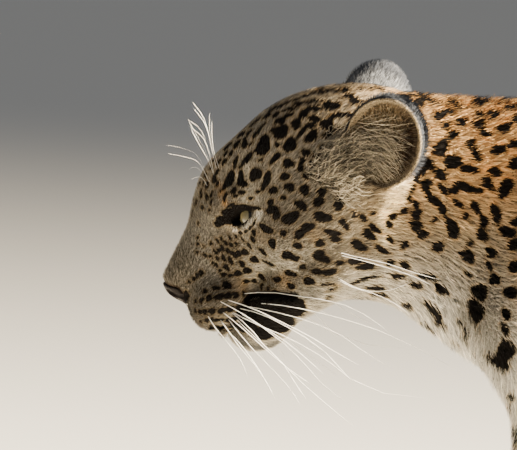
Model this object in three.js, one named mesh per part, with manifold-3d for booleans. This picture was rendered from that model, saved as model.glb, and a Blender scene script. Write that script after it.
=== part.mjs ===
// A leopard, life size in millimetres, standing with its head held low and level.
// It faces -X, its left side is -Y and the floor is Z = 0. Every solid is wrapped onto one smooth
// field of flesh, so that neighbours meet in the same surface, and is then parted with thin cuts.
import * as THREE from 'three';
import { mergeVertices } from 'three/addons/utils/BufferGeometryUtils.js';
import Module from 'manifold-3d';

const wasm = await Module();
wasm.setup();

// Driving dimensions. The nose tip is at X = 0 until the whole is centred at the end.
const noseHeight = 450;            // the nose tip over the floor
const headTilt = 39;               // degrees from the level to the line from nose tip to occiput
const gap = 0.3;                   // what neighbouring solids keep between them
const eyeRadius = 16;
const stepLeftFore = -12;          // how far each paw is set back from its plain stance
const stepRightFore = 62;
const stepLeftHind = 48;
const stepRightHind = -82;
const foreSize = 1.12;             // size of a fore paw, and of a hind paw
const hindSize = 1.02;
const furBrown = 0xc79a5b;
const noseDark = 0x2b2220;
const eyeAmber = 0xb8a45a;
const rad = Math.PI / 180;

// A point of the head: u runs from the nose tip to the occiput, v is square to it and upwards.
function inHead(u, v, y = 0) {
  const c = Math.cos(headTilt * rad);
  const s = Math.sin(headTilt * rad);
  return new THREE.Vector3(u * c - v * s, y, noseHeight + u * s + v * c);
}

function at(x, y, z) {
  return new THREE.Vector3(x, y, z);
}

// Flesh round a straight bone: radius ra at a and rb at b, its width in Y multiplied by flat.
function limb(a, b, ra, rb, blend = 24, flat = 1) {
  const run = b.clone().sub(a);
  run.y /= flat;
  const long2 = run.lengthSq();
  return {
    blend,
    depth(x, y, z) {
      const px = x - a.x;
      const py = (y - a.y) / flat;
      const pz = z - a.z;
      const t = Math.min(1, Math.max(0, (px * run.x + py * run.y + pz * run.z) / long2));
      const d = Math.hypot(px - t * run.x, py - t * run.y, pz - t * run.z);
      return (d - ra - t * (rb - ra)) * Math.min(1, flat);
    },
  };
}

// An egg with half sizes along, across and up, its long axis tilted in the XZ plane.
function egg(c, [rx, ry, rz], blend = 20, tilt = 0, turn = 0) {
  const ct = Math.cos(tilt * rad);
  const st = Math.sin(tilt * rad);
  const cy = Math.cos(turn * rad);
  const sy = Math.sin(turn * rad);
  return {
    blend,
    depth(x, y, z) {
      const qx = x - c.x;
      const qy = y - c.y;
      const qz = z - c.z;
      const hx = qx * cy + qy * sy;
      const hy = qy * cy - qx * sy;
      const ex = (hx * ct + qz * st) / rx;
      const ey = hy / ry;
      const ez = (qz * ct - hx * st) / rz;
      const k0 = Math.hypot(ex, ey, ez);
      const k1 = Math.hypot(ex / rx, ey / ry, ez / rz);
      return k1 < 1e-9 ? -Math.min(rx, ry, rz) : k0 * (k0 - 1) / k1;
    },
  };
}

// The same thing on both sides of the animal.
function pair(make) {
  return [make(-1), make(1)];
}

function smoothMin(a, b, k) {
  const h = Math.max(k - Math.abs(a - b), 0) / k;
  return Math.min(a, b) - h * h * k / 4;
}

function joined(parts) {
  return (x, y, z) => parts.reduce((d, p) => smoothMin(d, p.depth(x, y, z), p.blend), 1e6);
}

// The head above the mouth, and the jaw under it.
function skullParts() {
  return [
    egg(inHead(140, -8), [73, 61, 66], 16, headTilt),
    egg(inHead(97, 4), [48, 31, 52], 18, headTilt),
    limb(inHead(14, -5), inHead(66, 8), 16.5, 27, 14),
    limb(inHead(36, -22), inHead(86, -22), 26, 38, 18, 0.95),
    ...pair((s) => egg(inHead(24, -35, s * 18), [24, 23, 22], 11, headTilt)),
    ...pair((s) => egg(inHead(121, -25, s * 36), [44, 37, 43], 15, headTilt)),
    ...pair((s) => egg(inHead(83, 23, s * 28), [21, 12, 11], 12, headTilt - 6, s * 34)),
  ];
}

function jawParts() {
  return [
    egg(inHead(38, -70), [26, 25, 21], 12, headTilt),
    ...pair((s) => limb(inHead(46, -69, s * 10), inHead(112, -60, s * 40), 20, 29, 20)),
    limb(inHead(104, -50), inHead(170, -58), 42, 58, 26, 0.9),
  ];
}

// Neck, ribs, loin and hips.
function trunkParts() {
  return [
    limb(at(165, 0, 530), at(296, 0, 492), 82, 112, 30, 0.8),
    limb(at(304, 0, 472), at(420, 0, 461), 104, 147, 30, 0.74),
    limb(at(420, 0, 461), at(600, 0, 460), 147, 137, 30, 0.75),
    egg(at(560, 0, 448), [200, 116, 124], 30),
    limb(at(600, 0, 460), at(880, 0, 484), 137, 116, 30, 0.78),
    limb(at(880, 0, 486), at(985, 0, 502), 114, 77, 30, 0.84),
  ];
}

// Joints of a leg on side s, with its paw set back by step.
function foreJoints(s, step) {
  return {
    crest: at(376, s * 36, 588),
    shoulder: at(298 + 0.05 * step, s * 76, 424),
    elbow: at(331 + 0.3 * step, s * 84, 322),
    wrist: at(308 + 0.85 * step, s * 80, 124),
    paw: at(288 + step, s * 80, 36),
  };
}

function foreParts(s, step) {
  const j = foreJoints(s, step);
  return [
    limb(j.shoulder, j.crest, 48, 25, 34, 0.8),
    limb(j.shoulder, j.elbow, 50, 50, 30, 0.8),
    limb(j.crest.clone().lerp(j.shoulder, 0.3), j.elbow.clone().add(at(38, 0, 18)), 42, 36, 34, 0.8),
    limb(j.elbow, j.wrist, 48, 28, 26, 0.84),
    limb(j.elbow.clone().add(at(34, 0, 8)), j.wrist.clone().lerp(j.elbow, 0.45), 24, 25, 24, 0.86),
    limb(j.wrist, j.paw.clone().add(at(12, 0, 24)), 28.5, 31, 20),
  ];
}

function hindJoints(s, step) {
  return {
    hip: at(932, s * 52, 506),
    seat: at(1000, s * 46, 486),
    knee: at(868 + 0.4 * step, s * 86, 338),
    hock: at(990 + 0.9 * step, s * 80, 182),
    heel: at(1010 + 0.9 * step, s * 80, 206),
    paw: at(956 + step, s * 80, 33),
  };
}

function hindParts(s, step) {
  const j = hindJoints(s, step);
  return [
    limb(j.hip, j.knee, 88, 58, 36, 0.74),
    limb(j.seat, j.knee.clone().add(at(62, 0, -2)), 66, 54, 36, 0.74),
    limb(j.knee, j.hock, 52, 26, 28, 0.8),
    limb(j.knee.clone().add(at(64, 0, -6)), j.heel, 42, 15, 26, 0.7),
    limb(j.hock, j.heel, 24, 18, 14, 0.9),
    limb(j.hock, j.paw.clone().add(at(14, 0, 26)), 26, 27, 20),
  ];
}

// A paw: the palm, and four toes fanned out in front of it.
const toeFan = [[-27, -27, 0.92], [-41, -9.5, 1], [-40, 10, 1], [-26, 27, 0.9]];

function pawParts(paw, size) {
  return [
    egg(at(paw.x + 4 * size, paw.y, 27 * size), [44 * size, 37 * size, 31 * size], 16),
    ...toeFan.map(([dx, dy, big]) =>
      egg(
        at(paw.x + dx * size, paw.y + dy * size, 17 * size),
        [25 * size * big, 13.5 * size, 20 * size * big],
        6,
      )),
  ];
}

const tailPath = [
  at(1000, 0, 538), at(1060, 0, 518), at(1104, 2, 466), at(1134, 5, 398), at(1158, 9, 320), at(1188, 14, 244),
  at(1234, 20, 178), at(1300, 28, 138), at(1374, 34, 138), at(1436, 36, 172), at(1474, 34, 226),
];
const tailRadii = [42, 36, 32, 30, 28.5, 28, 27.5, 27, 26, 24.5, 19];
const tailCurve = new THREE.CatmullRomCurve3(tailPath, false, 'centripetal');

function tailRadius(t) {
  const place = t * (tailRadii.length - 1);
  const k = Math.min(tailRadii.length - 2, Math.floor(place));
  return tailRadii[k] + (place - k) * (tailRadii[k + 1] - tailRadii[k]);
}

function tailParts() {
  const steps = [...Array(30).keys()].map((i) => [i / 30, (i + 1) / 30]);
  return steps.map(([t, u]) => limb(tailCurve.getPoint(t), tailCurve.getPoint(u), tailRadius(t), tailRadius(u), 6));
}

const legs = [
  { side: 'left', s: -1, fore: stepLeftFore, hind: stepLeftHind },
  { side: 'right', s: 1, fore: stepRightFore, hind: stepRightHind },
];
const upperHead = joined(skullParts());
const lowerHead = joined(jawParts());
const trunk = joined(trunkParts());
const limbs = joined(legs.flatMap((l) => [...foreParts(l.s, l.fore), ...hindParts(l.s, l.hind)]));
const paws = legs.map((l) => [foreJoints(l.s, l.fore).paw, hindJoints(l.s, l.hind).paw]);
const tail = joined(tailParts());

function headField(x, y, z) {
  const skull = upperHead(x, y, z);
  const jaw = lowerHead(x, y, z);
  return smoothMin(smoothMin(skull, jaw, 7), trunk(x, y, z), 34);
}

function bodyField(x, y, z) {
  return smoothMin(smoothMin(trunk(x, y, z), limbs(x, y, z), 40), tail(x, y, z), 30);
}

function neckField(x, y, z) {
  return smoothMin(headField(x, y, z), limbs(x, y, z), 40);
}

// A closed solid from a geometry, its shared corners merged and its flat triangles dropped.
function solid(geometry) {
  const bare = geometry.clone();
  bare.deleteAttribute('normal');
  bare.deleteAttribute('uv');
  const merged = mergeVertices(bare, 1e-3);
  const corner = merged.index.array;
  const kept = [];
  for (let i = 0; i < corner.length; i += 3) {
    const [a, b, c] = [corner[i], corner[i + 1], corner[i + 2]];
    if (a !== b && b !== c && c !== a) kept.push(a, b, c);
  }
  return new wasm.Manifold(new wasm.Mesh({
    numProp: 3,
    vertProperties: new Float32Array(merged.attributes.position.array),
    triVerts: new Uint32Array(kept),
  }));
}

// A capsule laid along a path and grown outwards, ray by ray, until it meets the field.
function wrap(path, field, { rings, sides, capRings = 5, reach = 200 }) {
  const curve = new THREE.CatmullRomCurve3(path, false, 'centripetal');
  const capsule = new THREE.CapsuleGeometry(1, 1, capRings, sides, rings);
  const place = capsule.attributes.position;
  for (let i = 0; i < place.count; i++) {
    const [x, y, z] = [place.getX(i), place.getY(i), place.getZ(i)];
    const along = Math.min(0.5, Math.max(-0.5, y));
    const from = curve.getPoint(along + 0.5);
    const forward = curve.getTangent(along + 0.5);
    const side = at(0, 1, 0).addScaledVector(forward, -forward.y).normalize();
    const up = side.clone().cross(forward);
    const ray = side.multiplyScalar(x).addScaledVector(forward, y - along).addScaledVector(up, z).normalize();
    let near = 0;
    let far = 0;
    while (far < reach) {
      const d = field(from.x + ray.x * far, from.y + ray.y * far, from.z + ray.z * far);
      if (d > 0) break;
      near = far;
      far = Math.min(reach, far + Math.max(-0.7 * d, 1));
    }
    for (let k = 0; k < 14; k++) {
      const mid = (near + far) / 2;
      const d = field(from.x + ray.x * mid, from.y + ray.y * mid, from.z + ray.z * mid);
      if (d > 0) far = mid;
      else near = mid;
    }
    place.setXYZ(i, from.x + ray.x * far, from.y + ray.y * far, from.z + ray.z * far);
  }
  return solid(capsule);
}

// A plane through a point: what lies on its normal's side is kept.
function plane(point, normal) {
  const n = normal.clone().normalize();
  return { n, offset: n.dot(point) };
}

// A plane seen edge on from the side, through two points (x, z); it keeps what is behind (larger X).
function sidePlane([x1, z1], [x2, z2]) {
  const n = at(z2 - z1, 0, x1 - x2);
  if (n.x < 0) n.negate();
  return plane(at(x1, 0, z1), n);
}

function flip(p) {
  return { n: p.n.clone().negate(), offset: -p.offset };
}

function trimmed(body, planes, inset = gap / 2) {
  return planes.reduce((b, p) => b.trimByPlane([p.n.x, p.n.y, p.n.z], p.offset + inset), body);
}

// The space that some planes enclose, less an inner block, as a solid and as a depth.
function zone(planes, core = null) {
  const out = (list, x, y, z) => Math.max(...list.map((p) => p.offset - p.n.x * x - p.n.y * y - p.n.z * z));
  return {
    depth(x, y, z) {
      const d = out(planes, x, y, z);
      return core ? Math.max(d, -out(core, x, y, z)) : d;
    },
    solid(inset) {
      const block = trimmed(solid(new THREE.BoxGeometry(4000, 2000, 3000)), planes, inset);
      if (!core) return block;
      return block.subtract(trimmed(solid(new THREE.BoxGeometry(3000, 1000, 2000)), core, -inset));
    },
  };
}

// A field cut short a little way past a zone's walls.
const spare = 36;

function within(field, area) {
  return (x, y, z) => Math.max(field(x, y, z), area.depth(x, y, z) - spare);
}

function outside(field, areas) {
  return (x, y, z) => Math.max(field(x, y, z), ...areas.map((a) => -a.depth(x, y, z) - spare));
}

function largest(body) {
  return body.decompose().sort((a, b) => b.volume() - a.volume())[0];
}

// Where the body is parted.
const floor = plane(at(0, 0, 0), at(0, 0, 1));
const nape = sidePlane([202, 611], [172, 438]);
const collar = sidePlane([322, 605], [250, 392]);
const rump = sidePlane([1040, 600], [1056, 400]);
const foreWrist = plane(at(0, 0, 74), at(0, 0, 1));
const hindAnkle = plane(at(0, 0, 70), at(0, 0, 1));

// A leg's flesh is what lies in its zone, less the core that stays with the trunk.
function legZone(planes, s, coreHalf, coreFloor) {
  const core = [
    plane(at(0, coreHalf, 0), at(0, -1, 0)),
    plane(at(0, -coreHalf, 0), at(0, 1, 0)),
    plane(at(0, 0, coreFloor), at(0, 0, 1)),
  ];
  return zone([...planes, plane(at(0, 0, 0), at(0, s, 0))], core);
}

function foreZone(s) {
  const top = plane(at(0, 0, 512), at(0, 0, -1));
  const rear = flip(sidePlane([446, 520], [434, 280]));
  return legZone([top, collar, rear, foreWrist], s, 44, 300);
}

function hindZone(s, step) {
  const knee = hindJoints(s, step).knee;
  const flank = sidePlane([886, 556], [knee.x - 62, knee.z]);
  const top = plane(at(0, 0, 556), at(0, 0, -1));
  return legZone([top, flank, flip(rump), hindAnkle], s, 38, 336);
}

const group = new THREE.Group();
group.name = 'leopard';

function material(color, roughness) {
  return new THREE.MeshStandardMaterial({ color, roughness, metalness: 0 });
}

const coat = material(furBrown, 0.9);
const leather = material(noseDark, 0.45);
const iris = material(eyeAmber, 0.1);

function addNode(name, body, finish) {
  const whole = largest(body);
  const m = whole.getMesh();
  const points = new Float32Array(m.numVert * 3);
  for (let i = 0; i < m.numVert; i++) {
    points.set(m.vertProperties.subarray(i * m.numProp, i * m.numProp + 3), i * 3);
  }
  const geometry = new THREE.BufferGeometry();
  geometry.setAttribute('position', new THREE.BufferAttribute(points, 3));
  geometry.setIndex(new THREE.BufferAttribute(m.triVerts, 1));
  const mesh = new THREE.Mesh(geometry, finish);
  mesh.name = name;
  group.add(mesh);
}

// A ball or egg of SphereGeometry, set at a place with its axes along those of a frame.
function ballSolid(center, [rx, ry, rz], [ex, ey, ez], across, down) {
  const geometry = new THREE.SphereGeometry(1, across, down);
  const frame = new THREE.Matrix4().makeBasis(
    ex.clone().multiplyScalar(rx), ey.clone().multiplyScalar(ry), ez.clone().multiplyScalar(rz));
  frame.setPosition(center);
  return solid(geometry.applyMatrix4(frame));
}

// Eyes: each looks forwards and outwards from under its brow.
const eyeHalf = [13.5, 8];       // half the opening's length and height
const sides = legs.map((l) => l.s);

function eyeCenter(s) {
  return inHead(96, -1, s * 29.5);
}

// Axes of an eye's opening: along the slit from the nose outwards, over it, and out of the head.
function eyeAxes(s) {
  const out = at(-0.8, s * 0.58, 0.14).normalize();
  const slit = at(0.5, s * 0.66, 0.4);
  slit.addScaledVector(out, -slit.dot(out)).normalize();
  const over = out.clone().cross(slit);
  return s > 0 ? [slit, over, out] : [slit, over, out];
}

// How far out from the middle plane the flesh reaches at a place seen from the side.
function skinSide(x, z, s) {
  let near = 0;
  let far = 120;
  for (let k = 0; k < 20; k++) {
    const mid = (near + far) / 2;
    if (headField(x, s * mid, z) > 0) far = mid;
    else near = mid;
  }
  return at(x, s * far, z);
}

function rod(points, radii) {
  const parts = points.slice(1).map((q, i) => limb(points[i], q, radii[i], radii[i + 1], 1));
  return wrap(points, joined(parts), { rings: 2 * points.length, sides: 7, capRings: 2, reach: 20 });
}

// The line of the mouth on one side, from the front of the lips to its corner, as (x, z).
const mouthLine = [[36, 420], [47, 422], [57, 433], [67, 444], [84, 449], [101, 450]];

function mouthGroove(s) {
  const points = mouthLine.map(([x, z]) => skinSide(x, z, s));
  points.unshift(at(30, s * 2, 423));
  return rod(points, points.map((q, i) => (i === points.length - 1 ? 1.2 : 2.2)));
}

// The split of the upper lip under the nose, and a nostril.
function lipSplit() {
  const points = [at(8, 0, 434), at(19, 0, 428), at(30, 0, 422)];
  return rod(points, [1.6, 2, 2.2]);
}

function nostril(s) {
  const points = [at(1, s * 7, 449), at(8, s * 12, 447), at(18, s * 17.5, 446.5)];
  return rod(points, [3.4, 2.6, 1.2]);
}

const headShape = { rings: 15, sides: 34, capRings: 9, reach: 140 };
const headPath = [inHead(32, -36), inHead(70, -24), inHead(150, -20)];
const ahead = zone([flip(nape)]);
const wholeHead = wrap(headPath, within(headField, ahead), headShape);
const fullHead = wrap(headPath, (x, y, z) => headField(x, y, z) - gap, headShape);

// Ears: a cup that opens outwards and a little forwards, its rim cut flat, on a root in the head.
const earHalf = [33, 43, 20];      // front to back, base to tip, depth
const earWall = 3.6;

function earParts(s) {
  const up = at(0.31, s * 0.44, 0.84).normalize();
  const out = at(-0.36, s * 0.93, 0);
  out.addScaledVector(up, -out.dot(up)).normalize();
  const axes = [up.clone().cross(out), up, out];
  const base = at(162, s * 60, 554);
  const mid = base.clone().addScaledVector(up, 27);
  const inner = earHalf.map((h) => h - earWall);
  const rim = plane(mid.clone().addScaledVector(out, 6), out.clone().negate());
  return {
    cup: trimmed(ballSolid(mid, earHalf, axes, 18, 12), [rim], 0),
    root: ballSolid(base.clone().addScaledVector(up, -4), [27, 24, 19], axes, 14, 10),
    hollow: ballSolid(mid.clone().addScaledVector(out, 7), [inner[0], inner[1], 19], axes, 16, 10),
  };
}

// The nose pad: the skin of the muzzle's tip inside an egg.
const noseEgg = [inHead(1, -7), [12, 17.5, 17]];

function headAxes() {
  const along = inHead(1, 0).sub(inHead(0, 0));
  const over = inHead(0, 1).sub(inHead(0, 0));
  return [along, at(0, 1, 0), over];
}

const nosePad = ballSolid(noseEgg[0], noseEgg[1], headAxes(), 20, 14);
const noseRoom = ballSolid(noseEgg[0], noseEgg[1].map((r) => r + gap), headAxes(), 20, 14);
let nose = wholeHead.intersect(nosePad).subtract(lipSplit());
let head = trimmed(wholeHead, [flip(nape)]).subtract(noseRoom).subtract(lipSplit());
const neckShape = { rings: 9, sides: 28, capRings: 2, reach: 150 };
const neckPath = [at(150, 0, 524), at(240, 0, 500), at(340, 0, 480)];
const neckArea = zone([nape, flip(collar)]);
let behind = trimmed(wrap(neckPath, within(neckField, neckArea), neckShape), [nape, flip(collar)]);
const fullNeck = wrap(neckPath, (x, y, z) => neckField(x, y, z) - gap, neckShape);
for (const { side, s } of legs) {
  const c = eyeCenter(s);
  const axes = eyeAxes(s);
  const out = axes[2];
  const lids = ballSolid(c, [21.5, 19.5, 18.8], axes, 16, 12);
  const ball = ballSolid(c, [eyeRadius, eyeRadius, eyeRadius], axes, 16, 10);
  const socket = ballSolid(c, [eyeRadius + gap, eyeRadius + gap, eyeRadius + gap], axes, 16, 10);
  const opening = ballSolid(c.clone().addScaledVector(out, 17), [...eyeHalf, 12], axes, 16, 10);
  addNode('eye_' + side, ball, iris);
  const ear = earParts(s);
  head = head.add(lids).subtract(opening).subtract(socket).subtract(mouthGroove(s)).subtract(nostril(s));
  head = head.subtract(ear.hollow);
  behind = behind.subtract(ear.hollow);
  nose = nose.subtract(nostril(s));
  const shell = ear.cup.add(ear.root).subtract(ear.hollow);
  addNode('ear_' + side, shell.subtract(fullHead).subtract(fullNeck), coat);
}
addNode('nose', nose, leather);
addNode('head', head, coat);
addNode('neck', behind, coat);

const trunkPath = [at(270, 0, 490), at(440, 0, 478), at(640, 0, 478), at(860, 0, 500), at(1000, 0, 508)];
const legZones = legs.flatMap((l) => [foreZone(l.s), hindZone(l.s, l.hind)]);
const trunkArea = zone([collar, flip(rump)]);
const trunkShape = { rings: 24, sides: 30, capRings: 4, reach: 210 };
let torso = wrap(trunkPath, within(outside(bodyField, legZones), trunkArea), trunkShape);
torso = trimmed(torso, [collar, flip(rump)]);
for (const area of legZones) torso = torso.subtract(area.solid(-gap / 2));
addNode('torso', torso, coat);

const foreShape = { rings: 20, sides: 18, capRings: 4, reach: 150 };
const hindShape = { rings: 24, sides: 20, capRings: 4, reach: 170 };
const footShape = { rings: 5, sides: 18, capRings: 4, reach: 90 };
for (const { side, s, fore, hind } of legs) {
  const f = foreJoints(s, fore);
  const foreArea = foreZone(s);
  const forePath = [
    at(356, s * 72, 470), f.elbow.clone().add(at(6, 0, 20)), f.wrist, f.paw.clone().add(at(10, 0, 34)),
  ];
  const foreLeg = wrap(forePath, within(bodyField, foreArea), foreShape);
  addNode('foreleg_' + side, foreLeg.intersect(foreArea.solid(gap / 2)), coat);

  const h = hindJoints(s, hind);
  const hindArea = hindZone(s, hind);
  const hindPath = [
    at(948, s * 66, 500), h.knee.clone().add(at(50, 0, 20)), h.knee.clone().lerp(h.hock, 0.5),
    h.hock.clone().add(at(0, 0, 4)), h.paw.clone().add(at(14, 0, 34)),
  ];
  const hindLeg = wrap(hindPath, within(bodyField, hindArea), hindShape);
  addNode('hindleg_' + side, hindLeg.intersect(hindArea.solid(gap / 2)), coat);

  const feet = [
    ['forepaw_', f.paw, foreSize, foreWrist],
    ['hindpaw_', h.paw, hindSize, hindAnkle],
  ];
  for (const [name, paw, size, cut] of feet) {
    const toes = joined(pawParts(paw, size));
    const field = (x, y, z) => smoothMin(toes(x, y, z), limbs(x, y, z), 18);
    const footPath = [at(paw.x - 26 * size, paw.y, 24), at(paw.x + 16 * size, paw.y, 28)];
    const foot = wrap(footPath, within(field, zone([flip(cut)])), footShape);
    addNode(name + side, trimmed(trimmed(foot, [flip(cut)]), [floor], 0), coat);
  }
}

// The tail, in three lengths.
const tailCuts = [0.36, 0.66];
const tailShape = { rings: 34, sides: 12, capRings: 3, reach: 60 };
let rest = trimmed(wrap(tailPath, tail, tailShape), [rump]);
tailCuts.forEach((t, i) => {
  const cut = plane(tailCurve.getPoint(t), tailCurve.getTangent(t));
  addNode('tail_' + (i + 1), trimmed(rest, [flip(cut)]), coat);
  rest = trimmed(rest, [cut]);
});
addNode('tail_' + (tailCuts.length + 1), rest, coat);

// The whole is centred over the origin, its paws on the floor.
const bounds = new THREE.Box3().setFromObject(group);
const middle = bounds.getCenter(at(0, 0, 0));
for (const mesh of group.children) mesh.geometry.translate(-middle.x, -middle.y, -bounds.min.z);

export default group;
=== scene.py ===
# A leopard, life size, standing with its head held low and level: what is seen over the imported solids.
# One skin follows the same flesh as the solids, a coat's depth inside them. A coat of tufts lies on it.
# Lengths are in millimetres, with the nose tip at x = 0, until a mesh is written in metres.
import math
import time

import bpy
import numpy as np
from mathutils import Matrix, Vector
from mathutils.kdtree import KDTree


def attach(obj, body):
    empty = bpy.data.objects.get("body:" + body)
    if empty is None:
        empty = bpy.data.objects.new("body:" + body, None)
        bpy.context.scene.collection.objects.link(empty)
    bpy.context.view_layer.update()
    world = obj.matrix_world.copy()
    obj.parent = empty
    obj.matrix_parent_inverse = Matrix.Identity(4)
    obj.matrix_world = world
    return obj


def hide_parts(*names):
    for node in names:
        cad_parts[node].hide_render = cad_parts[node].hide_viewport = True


began = time.time()
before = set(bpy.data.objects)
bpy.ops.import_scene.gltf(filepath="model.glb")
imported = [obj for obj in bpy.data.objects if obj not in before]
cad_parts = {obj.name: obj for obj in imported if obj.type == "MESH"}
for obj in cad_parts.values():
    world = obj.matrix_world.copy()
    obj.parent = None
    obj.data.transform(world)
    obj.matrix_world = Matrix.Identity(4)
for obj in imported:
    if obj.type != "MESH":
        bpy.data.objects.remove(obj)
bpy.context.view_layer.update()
rng = np.random.default_rng(11)


def stage(text):
    print(f"{time.time() - began:6.1f} s  {text}", flush=True)


space = {"middle": (745.53, -0.12, 0.0), "noseHeight": 450.0, "headTilt": 39.0,
         "join": 216.0, "joinFloor": 330.0}
sides = ((-1, "left"), (1, "right"))


def vec(x, y, z):
    return np.array([x, y, z], float)


def unit(v):
    return v / np.maximum(np.linalg.norm(v, axis=-1, keepdims=True), 1e-9)


def inHead(u, v, y=0.0):
    c = math.cos(math.radians(space["headTilt"]))
    s = math.sin(math.radians(space["headTilt"]))
    return vec(u * c - v * s, y, space["noseHeight"] + u * s + v * c)


def toRow(p):
    return (np.asarray(p, float) - space["middle"]) / 1000


def ramp(x, a, b):
    t = np.clip((x - a) / (b - a), 0, 1)
    return t * t * (3 - 2 * t)


def mix(a, b, t):
    return a + (b - a) * t


def smoothMin(a, b, k):
    h = np.maximum(k - np.abs(a - b), 0) / k
    return np.minimum(a, b) - h * h * k / 4


def smoothMax(a, b, k):
    return -smoothMin(-a, -b, k)


# Simple forms of flesh. Each has a depth, a box and how softly it joins those before it.
def limb(a, b, ra, rb, blend=24, flat=1.0):
    run = (b - a) * [1, 1 / flat, 1]
    length = float(run @ run)

    def depth(p):
        q = (p - a) * [1, 1 / flat, 1]
        t = np.clip(q @ run / length, 0, 1)
        d = np.linalg.norm(q - t[:, None] * run, axis=1)
        return (d - ra - t * (rb - ra)) * min(1, flat)

    r = max(ra, rb)
    return depth, np.minimum(a, b) - r, np.maximum(a, b) + r, blend


def eggDepth(local, radii):
    e = local / radii
    k0 = np.linalg.norm(e, axis=-1)
    k1 = np.linalg.norm(e / radii, axis=-1)
    return k0 * (k0 - 1) / np.maximum(k1, 1e-6)


def egg(c, radii, blend=20, tilt=0.0, turn=0.0):
    radii = np.array(radii, float)
    ct, st = math.cos(math.radians(tilt)), math.sin(math.radians(tilt))
    cy, sy = math.cos(math.radians(turn)), math.sin(math.radians(turn))

    def depth(p):
        q = p - c
        along = q[:, 0] * cy + q[:, 1] * sy
        across = q[:, 1] * cy - q[:, 0] * sy
        return eggDepth(np.stack([along * ct + q[:, 2] * st, across, q[:, 2] * ct - along * st], 1), radii)

    r = radii.max()
    return depth, c - r, c + r, blend


def joined(parts, band=16.0):
    def depth(p):
        out = np.full(len(p), 90.0)
        for form, low, high, blend in parts:
            margin = blend + band
            near = np.nonzero(np.all((p > low - margin) & (p < high + margin), axis=1))[0]
            if len(near):
                out[near] = smoothMin(out[near], form(p[near]), blend)
        return out

    return depth


def pair(make):
    return [make(-1), make(1)]


tilt = space["headTilt"]
skull = joined([
    egg(inHead(140, -8), [73, 61, 66], 16, tilt),
    egg(inHead(97, 4), [48, 31, 52], 18, tilt),
    limb(inHead(14, -5), inHead(66, 8), 16.5, 27, 14),
    limb(inHead(36, -22), inHead(86, -22), 26, 38, 18, 0.95),
    *pair(lambda s: egg(inHead(24, -35, s * 18), [24, 23, 22], 11, tilt)),
    *pair(lambda s: egg(inHead(121, -25, s * 36), [44, 37, 43], 15, tilt)),
    *pair(lambda s: egg(inHead(83, 23, s * 28), [21, 12, 11], 12, tilt - 6, s * 34)),
])
jaw = joined([
    egg(inHead(38, -70), [26, 25, 21], 12, tilt),
    *pair(lambda s: limb(inHead(46, -69, s * 10), inHead(112, -60, s * 40), 20, 29, 20)),
    limb(inHead(104, -50), inHead(170, -58), 42, 58, 26, 0.9),
])
trunk = joined([
    limb(vec(165, 0, 530), vec(296, 0, 492), 82, 112, 30, 0.8),
    limb(vec(304, 0, 472), vec(420, 0, 461), 104, 147, 30, 0.74),
    limb(vec(420, 0, 461), vec(600, 0, 460), 147, 137, 30, 0.75),
    egg(vec(560, 0, 448), [200, 116, 124], 30),
    limb(vec(600, 0, 460), vec(880, 0, 484), 137, 116, 30, 0.78),
    limb(vec(880, 0, 486), vec(985, 0, 502), 114, 77, 30, 0.84),
])
steps = {-1: (-12, 48), 1: (62, -82)}


def foreLeg(s, step):
    crest = vec(376, s * 36, 588)
    shoulder = vec(298 + 0.05 * step, s * 76, 424)
    elbow = vec(331 + 0.3 * step, s * 84, 322)
    wrist = vec(308 + 0.85 * step, s * 80, 124)
    paw = vec(288 + step, s * 80, 36)
    return paw, [
        limb(shoulder, crest, 48, 25, 34, 0.8),
        limb(shoulder, elbow, 50, 50, 30, 0.8),
        limb(mix(crest, shoulder, 0.3), elbow + [38, 0, 18], 42, 36, 34, 0.8),
        limb(elbow, wrist, 48, 28, 26, 0.84),
        limb(elbow + [34, 0, 8], mix(wrist, elbow, 0.45), 24, 25, 24, 0.86),
        limb(wrist, paw + [12, 0, 24], 28.5, 31, 20),
    ]


def hindLeg(s, step):
    hip = vec(932, s * 52, 506)
    seat = vec(1000, s * 46, 486)
    knee = vec(868 + 0.4 * step, s * 86, 338)
    hock = vec(990 + 0.9 * step, s * 80, 182)
    heel = vec(1010 + 0.9 * step, s * 80, 206)
    paw = vec(956 + step, s * 80, 33)
    return paw, [
        limb(hip, knee, 88, 58, 36, 0.74),
        limb(seat, knee + [62, 0, -2], 66, 54, 36, 0.74),
        limb(knee, hock, 52, 26, 28, 0.8),
        limb(knee + [64, 0, -6], heel, 42, 15, 26, 0.7),
        limb(hock, heel, 24, 18, 14, 0.9),
        limb(hock, paw + [14, 0, 26], 26, 27, 20),
    ]


toeFan = ((-27, -27, 0.92), (-41, -9.5, 1), (-40, 10, 1), (-26, 27, 0.9))


def pawForms(paw, size):
    forms = [egg(vec(paw[0] + 4 * size, paw[1], 27 * size), [44 * size, 37 * size, 31 * size], 16)]
    for dx, dy, big in toeFan:
        toe = vec(paw[0] + dx * size, paw[1] + dy * size, 17 * size)
        forms.append(egg(toe, [25 * size * big, 13.5 * size, 20 * size * big], 6))
    return forms


legForms, feet = [], []
for s, _ in sides:
    for build, step, size in ((foreLeg, steps[s][0], 1.12), (hindLeg, steps[s][1], 1.02)):
        paw, forms = build(s, step)
        legForms += forms
        feet += pawForms(paw, size)
limbs = joined(legForms)
toes = joined(feet)

tailPath = np.array([(1000, 0, 538), (1060, 0, 518), (1104, 2, 466), (1134, 5, 398), (1158, 9, 320),
                     (1188, 14, 244), (1234, 20, 178), (1300, 28, 138), (1374, 34, 138), (1436, 36, 172),
                     (1474, 34, 226)], float)
tailRadii = np.array([42, 36, 32, 30, 28.5, 28, 27.5, 27, 26, 24.5, 19])


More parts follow.
